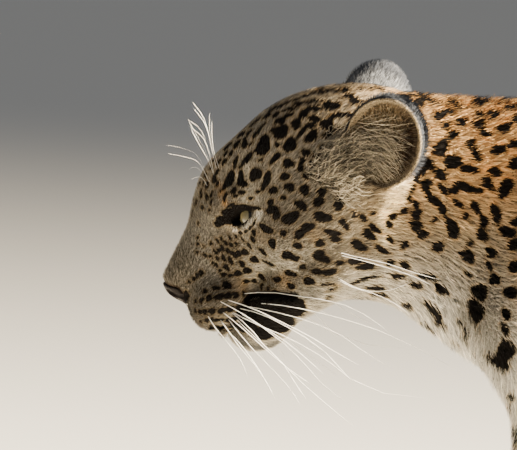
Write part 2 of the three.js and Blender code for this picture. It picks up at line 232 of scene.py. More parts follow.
# A curve through points, by the centripetal rule.
def curveAt(points, t):
    first = 2 * points[0] - points[1]
    last = 2 * points[-1] - points[-2]
    q = np.vstack([first, points, last])
    place = np.clip(np.asarray(t) * (len(points) - 1), 0, len(points) - 1 - 1e-6)
    k = place.astype(int)
    f = (place - k)[:, None]
    p0, p1, p2, p3 = q[k], q[k + 1], q[k + 2], q[k + 3]
    d01 = np.linalg.norm(p1 - p0, axis=1, keepdims=True) ** 0.5
    d12 = np.linalg.norm(p2 - p1, axis=1, keepdims=True) ** 0.5
    d23 = np.linalg.norm(p3 - p2, axis=1, keepdims=True) ** 0.5
    m1 = ((p1 - p0) / d01 - (p2 - p0) / (d01 + d12) + (p2 - p1) / d12) * d12
    m2 = ((p2 - p1) / d12 - (p3 - p1) / (d12 + d23) + (p3 - p2) / d23) * d12
    leaving = (2 * f ** 3 - 3 * f ** 2 + 1) * p1 + (f ** 3 - 2 * f ** 2 + f) * m1
    return leaving + (3 * f ** 2 - 2 * f ** 3) * p2 + (f ** 3 - f ** 2) * m2


tailSteps = np.linspace(0, 1, 31)
tailLine = curveAt(tailPath, tailSteps)
tailRound = np.interp(tailSteps, np.linspace(0, 1, len(tailRadii)), tailRadii)
tail = joined([limb(tailLine[i], tailLine[i + 1], tailRound[i], tailRound[i + 1], 6) for i in range(30)])


def headFlesh(p):
    return smoothMin(smoothMin(skull(p), jaw(p), 7), trunk(p), 34)


def flesh(p):
    out = smoothMin(headFlesh(p), smoothMin(limbs(p), toes(p), 18), 40)
    return smoothMin(out, tail(p), 30)


# The coat's depth over the skin: least on the face, the legs and the feet.
def coatDepth(p):
    x, z = p[:, 0], p[:, 2]
    d = 1.5 + 2.2 * ramp(x, 60, 130) + 3.8 * ramp(x, 150, 250)
    d = mix(d, 4.0, ramp(z, 400, 260) * ramp(x, 200, 240))
    d = mix(d, 6.5, ramp(x, 1040, 1120))
    foot = ramp(z, 110, 60) * ramp(x, 200, 210) * ramp(x, 1100, 1080)
    d = mix(d, 2.2, foot)
    return d * mix(1.0, 1 - foot, ramp(z, 16, 3))


# Frames of the eyes and of the ears.
eye = {"radius": 16.0, "half": 12.6, "upper": 4.9, "lower": 4.7, "inward": 2.5, "lids": [20.6, 18.7, 18.0],
       "fold": [vec(-12, 7, 14), vec(-2, 11.5, 15), vec(9, 9, 13.5), vec(15, 3, 10)]}


def eyeFrame(s):
    out = unit(vec(-0.8, s * 0.58, 0.14))
    slit = vec(0.5, s * 0.66, 0.4)
    slit = unit(slit - out * (slit @ out))
    over = np.cross(out, slit)
    if over[2] < 0:
        over = -over
    return inHead(96, -1, s * 29.5), np.stack([slit, over, out])


ear = {"half": [32.0, 42.0, 19.0], "inner": [30.2, 40.2, 19.0], "rise": 27.0, "offset": 7.0, "rim": 5.0,
       "forward": {-1: 0, 1: 0}}


def earFrame(s):
    up = unit(vec(0.31, s * 0.44, 0.84))
    out = vec(-0.36, s * 0.93, 0)
    out = unit(out - up * (out @ up))
    return vec(162, s * 60, 554) + up * ear["rise"], np.stack([np.cross(up, out), up, out])


def local(p, frameAt):
    center, axes = frameAt
    return (p - center) @ axes.T


def lens(a, b, half, upper, lower):
    ru = (half ** 2 + upper ** 2) / (2 * upper)
    rl = (half ** 2 + lower ** 2) / (2 * lower)
    return np.maximum(np.hypot(a, b + ru - upper) - ru, np.hypot(a, b - rl + lower) - rl)


# How far a place in an eye's frame is from the edge of the opening between the lids.
def opening(q):
    return lens(q[:, 0] + eye["inward"], q[:, 1], eye["half"], eye["upper"], eye["lower"])


def nearBox(p, center, reach):
    return np.nonzero(np.all(np.abs(p - center) < reach, axis=1))[0]


for s, _ in sides:
    ear["forward"][s] = -1 if earFrame(s)[1][0][0] > 0 else 1


# The line of the mouth, from the front of the lips to its corner, as (x, z) seen from the side.
mouth = {"line": ((36, 420), (47, 422), (57, 433), (67, 444), (84, 449), (101, 450)), "round": 1.5}


def skinSide(x, z, s):
    near, far = 0.0, 120.0
    for _ in range(18):
        middle = (near + far) / 2
        if headFlesh(np.array([[x, s * middle, z]]))[0] > -1.5:
            far = middle
        else:
            near = middle
    return vec(x, s * far, z)


mouthPaths = {s: [vec(30, s * 2, 423)] + [skinSide(x, z, s) for x, z in mouth["line"]] for s, _ in sides}
splitPath = [vec(8, 0, 434), vec(19, 0, 428), vec(30, 0, 422)]
nostrilPath = {s: [vec(3, s * 7, 445.5), vec(9, s * 12, 442.5), vec(18, s * 16.5, 443),
                   vec(24, s * 19, 447.5)] for s, _ in sides}


def pathDepth(p, points, radii):
    out = np.full(len(p), 50.0)
    for i in range(len(points) - 1):
        out = np.minimum(out, limb(points[i], points[i + 1], radii[i], radii[i + 1])[0](p))
    return out


nose = {"center": inHead(1, -7), "half": [12.0, 17.5, 17.0], "step": 0.75, "top": 452.5, "reach": 26}
headAxes = np.stack([inHead(1, 0) - inHead(0, 0), vec(0, 1, 0), inHead(0, 1) - inHead(0, 0)])


def noseEgg(p):
    pad = eggDepth((p - nose["center"]) @ headAxes.T, np.array(nose["half"]))
    return smoothMax(pad, p[:, 2] - nose["top"] + 0.16 * np.abs(p[:, 1]), 2)


def nostrils(p):
    return np.minimum(*[pathDepth(p, nostrilPath[s], (3.0, 2.6, 2.0, 1.0)) for s, _ in sides])


# The head's finer forms, cut into and built on the skin.
def detailed(p, f):
    for s, _ in sides:
        frameAt = earFrame(s)
        near = nearBox(p, frameAt[0], 75)
        if len(near):
            q = local(p[near], frameAt)
            shell = eggDepth(q, np.array(ear["half"]))
            shell = smoothMax(shell, q[:, 2] - ear["rim"], 2.5)
            cup = eggDepth(q - [0, 0, ear["offset"]], np.array(ear["inner"]))
            f[near] = smoothMax(smoothMin(f[near], shell, 10), -cup, 2)
        frameAt = eyeFrame(s)
        near = nearBox(p, frameAt[0], 34)
        if len(near):
            q = local(p[near], frameAt)
            lids = eggDepth(q, np.array(eye["lids"]))
            fold = pathDepth(q, eye["fold"], (2, 3, 3, 2))
            lidded = smoothMin(smoothMin(f[near], lids, 5), fold, 4)
            slot = np.maximum(opening(q), 4 - q[:, 2])
            lidded = smoothMax(lidded, -slot, 1.2)
            f[near] = np.maximum(lidded, eye["radius"] + 0.08 - np.linalg.norm(q, axis=1))
        near = nearBox(p, mouthPaths[s][3], 62)
        if len(near):
            groove = pathDepth(p[near], mouthPaths[s], [mouth["round"]] * 6 + [0.6])
            below = [q + [-2, 0, -5.5] for q in mouthPaths[s][2:]]
            lip = pathDepth(p[near], below, [3.4, 3.4, 3.0, 2.4, 1.6])
            f[near] = smoothMax(smoothMin(f[near], lip, 4), -groove, 2.2)
    near = nearBox(p, nose["center"], 42)
    if len(near):
        f[near] = smoothMax(f[near], -(noseEgg(p[near]) - 0.1), 0.8)
        f[near] = smoothMax(f[near], -nostrils(p[near]), 0.8)
        f[near] = smoothMax(f[near], -pathDepth(p[near], splitPath, (1.0, 1.3, 1.6)), 1.5)
    return f


def skinField(p):
    return np.maximum(detailed(p, flesh(p) + coatDepth(p)), 0.3 - p[:, 2])


def bodyField(p):
    return np.maximum(flesh(p) + coatDepth(p), 0.3 - p[:, 2])


def spread(values, axis, ratio):
    place = np.arange((values.shape[axis] - 1) * ratio + 1) / ratio
    first = np.minimum(place.astype(int), values.shape[axis] - 2)
    shape = [1, 1, 1]
    shape[axis] = -1
    return mix(np.take(values, first, axis), np.take(values, first + 1, axis), (place - first).reshape(shape))


# A field on a grid: roughly everywhere, and exactly near where it is zero.
def gridField(field, low, count, step, ratio=4):
    rough = [int(math.ceil(n / ratio)) for n in count]
    lines = [np.arange(n + 1) * ratio for n in rough]
    corners = np.stack(np.meshgrid(*lines, indexing="ij"), -1).reshape(-1, 3)
    values = evaluate(field, low + step * corners).reshape([n + 1 for n in rough])
    for axis in range(3):
        values = spread(values, axis, ratio)
    near = np.argwhere(np.abs(values) < 1.05 * ratio * step)
    values[tuple(near.T)] = evaluate(field, low + step * near)
    return values


def evaluate(field, p, chunk=60000):
    return np.concatenate([field(p[i:i + chunk]) for i in range(0, len(p), chunk)])


# A closed surface where a field is zero, with one vertex in each cell that it crosses.
def surfaceNet(values, low, step, keep):
    inside = values < 0
    shape = np.array(values.shape) - 1
    total = int(shape.prod())
    sums, hits = np.zeros((total, 3)), np.zeros(total)
    crossings = []
    for axis in range(3):
        a = [slice(None)] * 3
        b = [slice(None)] * 3
        a[axis], b[axis] = slice(0, -1), slice(1, None)
        a, b = tuple(a), tuple(b)
        at = np.argwhere(inside[a] != inside[b])
        end = at.copy()
        end[:, axis] += 1
        v0, v1 = values[tuple(at.T)], values[tuple(end.T)]
        spot = at.astype(float)
        spot[:, axis] += v0 / (v0 - v1)
        o1, o2 = [i for i in range(3) if i != axis]
        corners = []
        for d1, d2 in ((-1, -1), (0, -1), (0, 0), (-1, 0)):
            cell = at.copy()
            cell[:, o1] += d1
            cell[:, o2] += d2
            good = np.all((cell >= 0) & (cell < shape), axis=1)
            index = np.where(good, (cell[:, 0] * shape[1] + cell[:, 1]) * shape[2] + cell[:, 2], -1)
            for k in range(3):
                sums[:, k] += np.bincount(index[good], weights=spot[good, k], minlength=total)
            hits += np.bincount(index[good], minlength=total)
            corners.append(index)
        quads = np.stack(corners, 1)
        flip = inside[tuple(at.T)] ^ (axis == 1)
        quads[~flip] = quads[~flip][:, ::-1]
        crossings.append(quads[np.all(quads >= 0, axis=1)])
    quads = np.concatenate(crossings)
    cells = np.nonzero(hits)[0]
    spots = low + step * sums[cells] / hits[cells][:, None]
    order = np.full(total, -1)
    order[cells] = np.arange(len(cells))
    quads = order[quads]
    grid = np.stack(np.unravel_index(cells, shape), 1)
    kept = keep(low + step * (grid + 0.5))
    quads = quads[np.all(kept[quads], axis=1)]
    used = np.unique(quads)
    renumber = np.full(len(cells), -1)
    renumber[used] = np.arange(len(used))
    return spots[used], renumber[quads]


def fieldNormal(field, p, h=0.4):
    base = field(p)
    grad = np.stack([field(p + np.eye(3)[i] * h) - base for i in range(3)], 1) / h
    return base, grad


def settle(field, p, step, rounds=2):
    for _ in range(rounds):
        base, grad = fieldNormal(field, p)
        size = np.maximum((grad ** 2).sum(1), 0.2)
        move = -(base / size)[:, None] * grad
        far = np.linalg.norm(move, axis=1, keepdims=True)
        p = p + move * np.minimum(1, 0.5 * step / np.maximum(far, 1e-9))
    return p


# Cell sizes, and the length, width and height of the two grids.
grids = {"head": 1.4, "bodyRatio": 3, "headBox": (space["join"] + 6, 236, 300),
         "bodyBox": (1506 - space["join"], 300, 650), "overlap": 12}
stage("fields ready")
fine = grids["head"]
coarse = fine * grids["bodyRatio"]
headCount = [math.ceil(length / fine) for length in grids["headBox"]]
headLow = vec(space["join"] - headCount[0] * fine, -grids["headBox"][1] / 2, space["joinFloor"])
headValues = gridField(skinField, headLow, headCount, fine)
headSpots, headQuads = surfaceNet(headValues, headLow, fine, lambda c: c[:, 0] < space["join"])
bodyBack = math.ceil(grids["overlap"] / coarse)
bodyCount = [math.ceil(length / coarse) for length in grids["bodyBox"]]
bodyCount[0] += bodyBack
bodyLow = vec(space["join"] - bodyBack * coarse, -grids["bodyBox"][1] / 2, -coarse * 0.5)
bodyValues = gridField(bodyField, bodyLow, bodyCount, coarse)
bodySpots, bodyQuads = surfaceNet(bodyValues, bodyLow, coarse,
                                  lambda c: (c[:, 0] > space["join"]) | (c[:, 2] < space["joinFloor"]))
stage(f"nets: head {len(headQuads)} and body {len(bodyQuads)} quads")
headSpots = settle(skinField, headSpots, fine)
bodySpots = settle(bodyField, bodySpots, coarse)
stage("nets settled on the field")


# The open edge of a net at the neck, in order round it.
def openLoop(spots, quads):
    edges = np.concatenate([quads[:, [i, (i + 1) % 4]] for i in range(4)])
    key = np.sort(edges, axis=1)
    number = key[:, 0] * (len(spots) + 1) + key[:, 1]
    _, first, times = np.unique(number, return_index=True, return_counts=True)
    border = edges[first[times == 1]]
    middle = spots[border].mean(1)
    atNeck = (abs(middle[:, 0] - space["join"]) < 3 * coarse) & (middle[:, 2] > space["joinFloor"])
    border, middle = border[atNeck], middle[atNeck]
    after = {int(a): int(b) for a, b in border}
    start = int(border[np.argmax(middle[:, 2]), 0])
    loop = [start]
    while after.get(loop[-1], start) != start and len(loop) < len(border) + 2:
        loop.append(after[loop[-1]])
    return loop, len(border)


def angleOf(spots, loop):
    q = spots[loop]
    turn = np.unwrap(np.arctan2(q[:, 1], q[:, 2] - 500))
    return turn - turn[0] if turn[-1] > turn[0] else turn[0] - turn


headLoop, headBorder = openLoop(headSpots, headQuads)
bodyLoop, bodyBorder = openLoop(bodySpots, bodyQuads)
stage(f"loops {len(headLoop)} of {headBorder}, {len(bodyLoop)} of {bodyBorder}")
offset = len(headSpots)
spots = np.concatenate([headSpots, bodySpots])
quads = np.concatenate([headQuads, bodyQuads + offset])
bodyLoop = [i + offset for i in bodyLoop][::-1]
nearest = int(np.argmin(np.linalg.norm(spots[bodyLoop] - spots[headLoop[0]], axis=1)))
bodyLoop = bodyLoop[nearest:] + bodyLoop[:nearest]
turnHead = np.append(angleOf(spots, headLoop), 2 * math.pi)
turnBody = np.append(angleOf(spots, bodyLoop), 2 * math.pi)
triangles = []
i = j = 0
while i < len(headLoop) or j < len(bodyLoop):
    a, b = headLoop[i % len(headLoop)], bodyLoop[j % len(bodyLoop)]
    if j >= len(bodyLoop) or (i < len(headLoop) and turnHead[i + 1] <= turnBody[j + 1]):
        triangles.append((headLoop[(i + 1) % len(headLoop)], a, b))
        i += 1
    else:
        triangles.append((a, b, bodyLoop[(j + 1) % len(bodyLoop)]))
        j += 1
triangles = np.array(triangles)


def vertexNormals(p, groups):
    out = np.zeros_like(p)
    for faces in groups:
        n = np.cross(p[faces[:, 2]] - p[faces[:, 0]], p[faces[:, -1]] - p[faces[:, 1]])
        for k in range(faces.shape[1]):
            for axis in range(3):
                out[:, axis] += np.bincount(faces[:, k], weights=n[:, axis], minlength=len(p))
    return unit(out)


normals = vertexNormals(spots, [quads, triangles])
stage(f"skin of {len(spots)} points")


# The camera stands where the photo was taken from: level with the head, a little above it.
camera = {"azimuth": -3.0, "elevation": 10.5, "distance": 5000.0, "center": vec(74.8, 0, 498),
          "frameWidth": 413.6, "sensor": 36.0, "pixels": 517.0, "middle": (258.5, 225.0)}


def cameraAxes():
    a, e = math.radians(camera["azimuth"]), math.radians(camera["elevation"])
    back = vec(math.sin(a) * math.cos(e), -math.cos(a) * math.cos(e), math.sin(e))
    right = vec(math.cos(a), math.sin(a), 0)
    return right, np.cross(back, right), back


right, above, back = cameraAxes()
cameraPlace = camera["center"] + back * camera["distance"]
pixel = camera["frameWidth"] / camera["pixels"]


# Where the line of sight through a point of the picture meets the near side of the skin.
def onSkin(x, y):
    sideways, down = x - camera["middle"][0], y - camera["middle"][1]
    aim = camera["center"] + right * sideways * pixel - above * down * pixel
    ray = unit(aim - cameraPlace)
    start = camera["distance"] - 170
    p = cameraPlace + ray * (start + np.arange(0, 260, 1.5))[:, None]
    inside = np.nonzero(skinField(p) < 0)[0]
    return p[inside[0]] if len(inside) else None


# Markings, read off the picture. Each is a place in the picture, its half length and half width in pixels,
# and its slope in degrees.
faceSpots = {
    "whiskerRows": [
        (189.7, 281.7, 0.9), (193.9, 278.9, 1.4), (197.7, 276, 1.6), (201.3, 273.3, 2.2, 1.6, 30),
        (205.6, 291.9, 1.5), (215.8, 289.2, 2.8, 1.6, 10), (226.3, 285.9, 4.4, 3, 0), (196.3, 301.4, 1.2),
        (201.9, 300.6, 2, 1.4, 0), (208.8, 298.3, 2.6, 2, 10), (218.6, 297.4, 4, 2.5, 10),
        (226.8, 296.5, 3.2, 2.7, 0), (234.4, 295.6, 3, 2.3, 0), (242.4, 294.4, 2.4, 1.8, 0),
        (195.6, 311, 1.1), (200.8, 311.7, 1.5), (205, 311.7, 1.7), (211.9, 311, 2.8, 1.8, 0),
        (221.3, 310.6, 3.4, 2.1, 0), (229.7, 308.9, 3.4, 1.8, 10), (236.9, 307, 3.2, 1.8, 20),
        (245.2, 303.9, 2.2, 1.6, 20), (201.3, 320.8, 0.9), (206.6, 320.3, 1.5),
        (211.3, 319.4, 1.8, 1.2, 0), (216.3, 319.4, 1.7, 1.2, 0), (221, 319.4, 1.9, 1.2, 0),
        (227.4, 319.4, 2.8, 1.4, 5), (234, 318.6, 2.8, 1.4, 5), (210.8, 326, 1.2), (217.2, 326, 1.4),
        (221.4, 326.2, 1.2)],
    "cheek": [
        (255.5, 175, 6.8, 5.6, 60), (266.6, 181.6, 9, 3.8, 64), (275, 158.8, 6.4, 3, 52),
        (287.7, 164, 4.2, 3.8, 0), (300, 168.4, 3.6, 2.6, -60), (311.4, 165.6, 3.2, 1.8, -50),
        (306.8, 176.4, 4.2, 3.6, -20), (318.6, 179, 4.6, 2.6, -60), (284.8, 177.4, 4.2, 3.9, 0),
        (289.5, 188.2, 4.6, 4.2, 0), (273.4, 191, 4.2, 3.6, 30), (304, 191, 5, 4.6, 0),
        (321, 193.2, 4.2, 3.8, 0), (332, 187, 4, 2.6, -40), (317.3, 202.7, 5.2, 4.2, 0),
        (337.7, 204, 6.4, 5, 100), (282.7, 198.2, 2.4, 1.4, 20), (300.5, 206, 7.4, 3.2, -38),
        (271, 203, 3.8, 2, 25), (273, 210.6, 6.2, 4, 8), (276.6, 215.4, 4.2, 4, 0),
        (290.5, 218.2, 7.8, 5.8, 25), (321.8, 217.3, 8.2, 5, -8), (266.4, 229, 7.8, 3.4, -8),
        (254.5, 232.7, 3, 1.9, -60), (253.4, 239, 3.4, 1.8, -30), (283.6, 233.2, 3.2, 2.2, 60),
        (306.8, 227.8, 6.4, 4.2, 10), (299, 234.4, 5.6, 3.6, 15), (331, 232.5, 8, 2.8, -18),
        (334, 238.6, 5.4, 3, -15), (342.9, 223.8, 6.2, 3.2, -52), (272.7, 243.2, 4.4, 4, 0),
        (297.3, 245, 5, 2.6, -22), (318.6, 242.7, 5.2, 3.2, 5), (263.2, 251, 4.7, 2.3, 0),
        (287, 254.6, 6, 3.6, 20), (294, 257.5, 5.6, 2.8, -12), (318, 254.6, 6, 4.6, -20),
        (324, 259.6, 6, 3.2, -8), (254.8, 259, 5, 3.1, -5), (268.6, 262.7, 5.8, 2.2, 22),
        (303.2, 266, 3.2, 1.9, 0), (338.4, 262.8, 3.4, 1.9, 0), (246.9, 270.2, 4.3, 3, -28),
        (291, 272.7, 6, 3, 5), (316.8, 271.4, 4.6, 2.8, 0), (328.6, 271.8, 7.4, 3.2, 14),
        (262.3, 276.8, 4.8, 2.2, -18), (277.7, 279.5, 5, 2.2, 0), (309, 280.5, 5.4, 3.8, -15),
        (291, 286, 3.6, 2.2, 0), (262, 286.6, 2.1, 1.5, 0), (327, 284, 7, 1.5, 8),
        (332.3, 288.2, 6, 2, 22), (327.3, 296.4, 4.4, 2, 15), (253.6, 280.6, 2.4, 1.4, 0),
        (246, 281.2, 3, 1.5, 0), (250.3, 245.6, 4.2, 1.5, -45), (245, 251.5, 3.4, 2.5, -35),
        (276.8, 292.4, 3.8, 2.2, 0), (268.6, 288.6, 1.6, 0.9, 0), (237.4, 273.3, 4.2, 2.6, -10),
        (242, 263.3, 3, 2.3, -60), (230.6, 261, 3.8, 1.5, -60), (223.8, 257.6, 3, 1.3, -60),
        (226.3, 267.2, 3, 2, -45), (223.6, 274.8, 2.4, 1.4, -10), (230.2, 275.9, 2.2, 1.2, 0),
        (216.3, 265, 2.2, 1.4, -60), (217.3, 258, 1.8, 1.2, -60), (212.4, 262.8, 0.9),
        (220, 270.8, 1.4, 1, 0), (234.4, 254.4, 4.2, 2.1, -60), (238.8, 253, 2.4, 1.7, -50),
        (228, 250.4, 2.8, 1.3, -50), (231, 245, 2.8, 1.1, -60), (226, 242.7, 2.6, 1, -60),
        (222.2, 248, 2.6, 1.1, -60), (219.2, 250.4, 1.6, 1.1, 0), (215.3, 252, 2.6, 1, -50),
        (236, 243.8, 2, 0.8, -50), (242.6, 239.2, 2, 0.8, -40), (217.6, 241.2, 2, 0.9, -70),
        (211.5, 243.5, 1.5, 1.1, 0), (221.5, 238.8, 1.8, 0.8, -60), (198.4, 237.7, 0.9),
        (198.4, 244.2, 1.1), (205.3, 255.4, 1.3), (210, 256.5, 1.1), (197, 252.7, 0.8),
        (199.2, 223.8, 0.9), (204, 246, 0.9), (230, 238, 1.8, 0.7, -60), (236, 236, 1.8, 0.7, -50)],
    "brow": [
        (229.5, 181.2, 10.4, 4.5, 76), (225.2, 197, 5, 1.5, 80), (241.3, 179, 7.6, 3.2, -76),
        (243.8, 184.4, 4.4, 3.4, 0), (233.8, 191.9, 3, 2.3, 60), (242.2, 193.3, 3.6, 1.6, 0),
        (235.3, 196.5, 1.8, 0.9, 20), (251.5, 198.8, 2.8, 0.8, 12), (258.4, 192.4, 2, 1.2, 20),
        (214.5, 179.6, 3.6, 1.9, -60), (211.5, 168.5, 2, 1.1, 50), (207.6, 185.8, 3.4, 1.4, 60),
        (212.2, 195, 2.6, 1.2, 60), (207.2, 198, 3.6, 1.3, -60), (211.8, 203, 2.6, 1.1, -70),
        (201.8, 192, 2.2, 1, 70), (202, 196.4, 2, 1, -60), (196, 203, 3, 1, 75), (203, 208, 2.6, 1, -30),
        (210, 210.4, 1, 0.8, 0), (206, 176, 2.6, 1.1, 60), (217.5, 172.5, 2.8, 1.2, 55),
        (219, 163, 3, 1.3, 55), (224.5, 162.5, 4, 1.8, 60), (213.5, 161, 2.4, 1, 50),
        (236.5, 160.6, 3.4, 1.7, 65), (235.5, 165.8, 3, 1.5, 60), (231.6, 154.4, 3.2, 1.3, 58),
        (226, 154, 2.8, 1.1, 50), (247.3, 159.8, 8.6, 3, 42), (241, 167, 2.4, 1.2, 35),
        (218, 184.5, 2.4, 1.1, 65), (204, 184, 2.2, 1, 65), (199.5, 185, 2, 0.9, 70),
        (221, 192, 2, 0.9, 70)],
    "crown": [
        (263.2, 146.2, 8.2, 5.8, 75), (281, 133, 7.6, 5, 65), (290, 146.2, 6.2, 5, 10),
        (296, 125.7, 4.8, 4, 0), (303.2, 115.7, 4.4, 4, 0), (314, 120.3, 5, 3.2, -15),
        (313.2, 109.8, 7, 3, -5), (330.5, 106.6, 6.4, 4.8, 10), (326.4, 125.3, 5.6, 4.8, 0),
        (311, 138, 6.4, 4, 45), (301, 134.4, 5.4, 2.2, 65), (309.5, 127.5, 4.6, 2.4, 15),
        (341, 117, 10, 3, 8), (326.8, 135.7, 4, 2.4, 20), (336.8, 131.5, 5, 1, 5),
        (323.2, 149.8, 3.6, 2, -10), (305.5, 153.5, 3.4, 2.6, 0), (316, 158, 3, 2.2, -40),
        (288.2, 164.4, 4.2, 3.6, 0), (302.3, 161.6, 2.6, 1.8, -50), (256.4, 134.8, 4.4, 2.1, 42),
        (244.5, 144.8, 3.2, 2.5, 25), (241, 135.3, 3.8, 1.7, 44), (236.8, 144.8, 3.8, 1.8, 50),
        (228, 147, 3.8, 1.4, 48), (277.3, 145.7, 2.4, 1, -60), (253, 124.8, 5, 1.4, 40),
        (262.4, 127, 4, 1.3, 34), (267, 117.4, 4.5, 1.8, 34), (272, 110.4, 4.6, 1.3, 30),
        (276, 115.6, 4, 1.4, 26), (278.8, 108, 4, 1.8, 30), (285.6, 101.8, 4, 1.1, 22),
        (286, 105.4, 4.4, 1.3, 25), (287, 110.4, 5, 1.4, 28), (294, 110, 4, 1.3, 16),
        (297.7, 105.3, 4.4, 1.8, 20), (297, 97.6, 6, 1.5, 18), (307.6, 96.6, 5.6, 1.7, 18),
        (304.5, 104.4, 4, 1.1, 16), (313, 102.6, 7, 1.8, 18), (323.4, 93.4, 7, 2.1, 8),
        (314, 90.6, 3.4, 0.9, 12), (330, 88.6, 5, 1.3, 10), (330, 85.4, 4, 0.9, 8), (340, 87, 6, 1.1, 4),
        (340, 93.4, 7, 1.4, 4), (346.6, 90.4, 5, 1.1, 0), (257.8, 121.4, 3, 1, 38),
        (249.4, 133.6, 3, 1, 42), (246.6, 137.4, 4, 1.1, 42), (278.6, 121.6, 3.4, 1.8, 45),
        (282.6, 122.4, 3, 1.1, 68), (287, 117.2, 3.2, 1.3, 40), (290.6, 117, 2.6, 1.2, 50),
        (260.6, 161, 1.6, 0.8, 0)],
    "nape": [
        (349, 98.6, 6, 3, 0), (354.4, 103.4, 5.4, 3.2, -10), (375, 98, 7, 2.6, -12),
        (378.6, 101.8, 4, 2.6, 0), (383, 93, 5.6, 1.6, -18), (363, 87.2, 6, 1.4, 3),
        (376.3, 87.6, 6, 1.3, 0), (370.6, 108, 5.4, 2.4, 25), (402.5, 92, 7, 4.6, -20),
        (426.3, 92.8, 8, 3.8, -15), (418, 90, 3, 2.6, 0), (415, 105.5, 6.4, 3.6, -35),
        (398.8, 99.9, 4, 1.6, 0), (436.9, 104.3, 4, 2.4, 15), (450.6, 98.2, 6, 3.4, -5),
        (450.6, 105, 3.6, 2, -25), (458.8, 109.9, 4.4, 2.8, -15), (447.5, 113.6, 3.7, 3.4, 0),
        (436.9, 117.4, 4.6, 4.4, 0), (458.8, 123.6, 4.6, 4.2, 0), (443.8, 126.8, 4, 3.6, 0),
        (423.6, 131.8, 7.4, 3, 90), (450.6, 136, 4.4, 3.6, -70), (439.4, 149.3, 7.6, 6, 60),
        (423, 149.3, 6, 3.2, -75), (475, 97.2, 5, 2.8, -10), (480, 104.3, 9, 2.5, 3),
        (477.5, 115.5, 4.6, 3.2, 15), (491.3, 116, 5, 4.8, 0), (476.3, 125.5, 4.6, 4.4, 80),
        (483, 134.3, 4.6, 4.4, 0), (501.9, 129.3, 6.6, 4.6, 0), (495, 99, 4, 1.8, 0),
        (506.3, 103.8, 9, 1.6, 0), (508.8, 110.5, 6.6, 3.4, -5), (515, 121, 5.6, 3.6, 0),
        (468, 144.9, 4.6, 3.4, 80), (474.4, 155.5, 7.6, 3.4, -65), (451.3, 162.4, 7.4, 5.4, 20),
        (496.9, 150.5, 6, 4.6, 40), (513, 145.5, 6, 3.4, 0), (425, 164.3, 7, 4, -35),
        (421.3, 173, 3.2, 2.4, 0), (468, 169.9, 6.6, 3.8, -15), (493, 172.4, 6, 4, 0),
        (515, 164.3, 6.4, 6, 90), (438.8, 174.9, 6.4, 4, -50), (415, 178, 6.4, 2.4, -70),
        (486.3, 184.3, 7, 3.6, -70), (503.8, 188, 9.6, 4.6, 75), (461.9, 186, 6.6, 3.6, -15),
        (470.6, 190.5, 5, 2.6, -10), (452.5, 189.3, 3.4, 3.2, 0), (441.3, 189.9, 6, 3, -55),
        (423.8, 188, 6, 3.4, -60), (430, 198, 7, 3.2, -50), (410.6, 189.3, 4.6, 1.4, 75),
        (407.5, 198, 3.4, 1.8, 70), (427, 182.4, 3, 1.4, -50), (478, 191, 3, 2.2, 0)],
    "neck": [
        (413.8, 204.3, 3.6, 2.4, -70), (440.6, 208, 8, 3.6, -60), (456.9, 203.6, 5, 3, -35),
        (474.4, 208, 6.4, 3.2, -60), (494.4, 213, 8, 4.2, -70), (465, 216, 4, 2.6, -60),
        (482.5, 220.5, 5.6, 3.4, -60), (402.5, 211, 3.4, 1.9, 40), (415, 213.6, 4.6, 4.2, 0),
        (391.3, 216, 3.2, 2.6, 0), (387.5, 223.6, 3.6, 2.2, -70), (414.2, 224.3, 6, 4.6, -10),
        (433, 219.3, 3.2, 2, 30), (451, 226.9, 8.4, 5.6, -70), (421.3, 233.6, 4.6, 3, 50),
        (481.3, 233.6, 6.6, 4.2, -75), (506.6, 231.6, 7.4, 4.6, -10), (515, 221.8, 4.4, 4, 0),
        (371.3, 213, 1.8, 1.4, 0), (352.5, 214.3, 3, 1.8, -50), (361.9, 218, 4.4, 2.2, -35),
        (373.8, 228, 6, 2.6, -38), (367.5, 234, 6, 3.6, -35), (388.7, 239, 4, 2.1, -70),
        (357, 245, 8.6, 3.4, -38), (380.7, 248.6, 6, 3, -30), (353, 261, 6.4, 3, -5),
        (364, 266, 8.6, 3.4, -12), (388.6, 261.4, 4.4, 3, -15), (395.7, 274.3, 6, 2.8, -8),
        (403.6, 263.6, 4.6, 3.4, -50), (402.9, 244.3, 4.2, 2.6, 60), (362, 278.6, 13, 1.8, 3),
        (373.6, 287, 9, 3, -5), (377.9, 292.9, 8, 2.6, -12), (360.7, 296.4, 9.6, 2, 10),
        (437, 245, 6, 4, 50), (466.4, 255, 8, 4.4, -45), (490.7, 252, 4.8, 4.2, 0),
        (513.6, 244.3, 6, 5, 30), (468.6, 242, 3, 2, 45), (489.3, 265.7, 4.4, 2.4, -60),
        (513.6, 267, 5.6, 4.4, 0), (467.9, 272.9, 4, 1.6, -30), (426.4, 274.3, 8, 3.4, -12),
        (414.3, 282.9, 6, 3.2, -15), (495, 279.3, 5, 4.4, -60), (442, 287.9, 7.6, 3.4, -20),
        (480.7, 291.4, 9, 5.6, -35), (510.7, 292.9, 6, 5, 0), (433.6, 308.6, 11, 4.4, -65),
        (476.4, 310, 12, 6.4, -38), (506.4, 314.3, 6, 3, -60), (428, 324.5, 8, 3.6, 0),
        (440.7, 322, 5.6, 3.6, -15), (465, 325.7, 8, 3, -45), (466.4, 335.7, 5, 2.6, -50),
        (506.4, 348.6, 9, 7.6, 30), (497.9, 359.6, 13, 5, -5), (480.7, 361.4, 7, 2.8, -40),
        (489, 372.9, 6, 2.2, -50), (406.4, 302.9, 6, 3, -40), (479.3, 327, 6, 1.6, -45),
        (505, 328.6, 5, 3, -50), (456.4, 340, 5, 1.8, -25), (498.9, 387, 2.8, 1.3, -60),
        (512, 394, 3.6, 2.4, 0), (503, 404, 3, 1.8, 0), (511, 405.7, 3.2, 2, 0), (507, 414, 3, 2, 30),
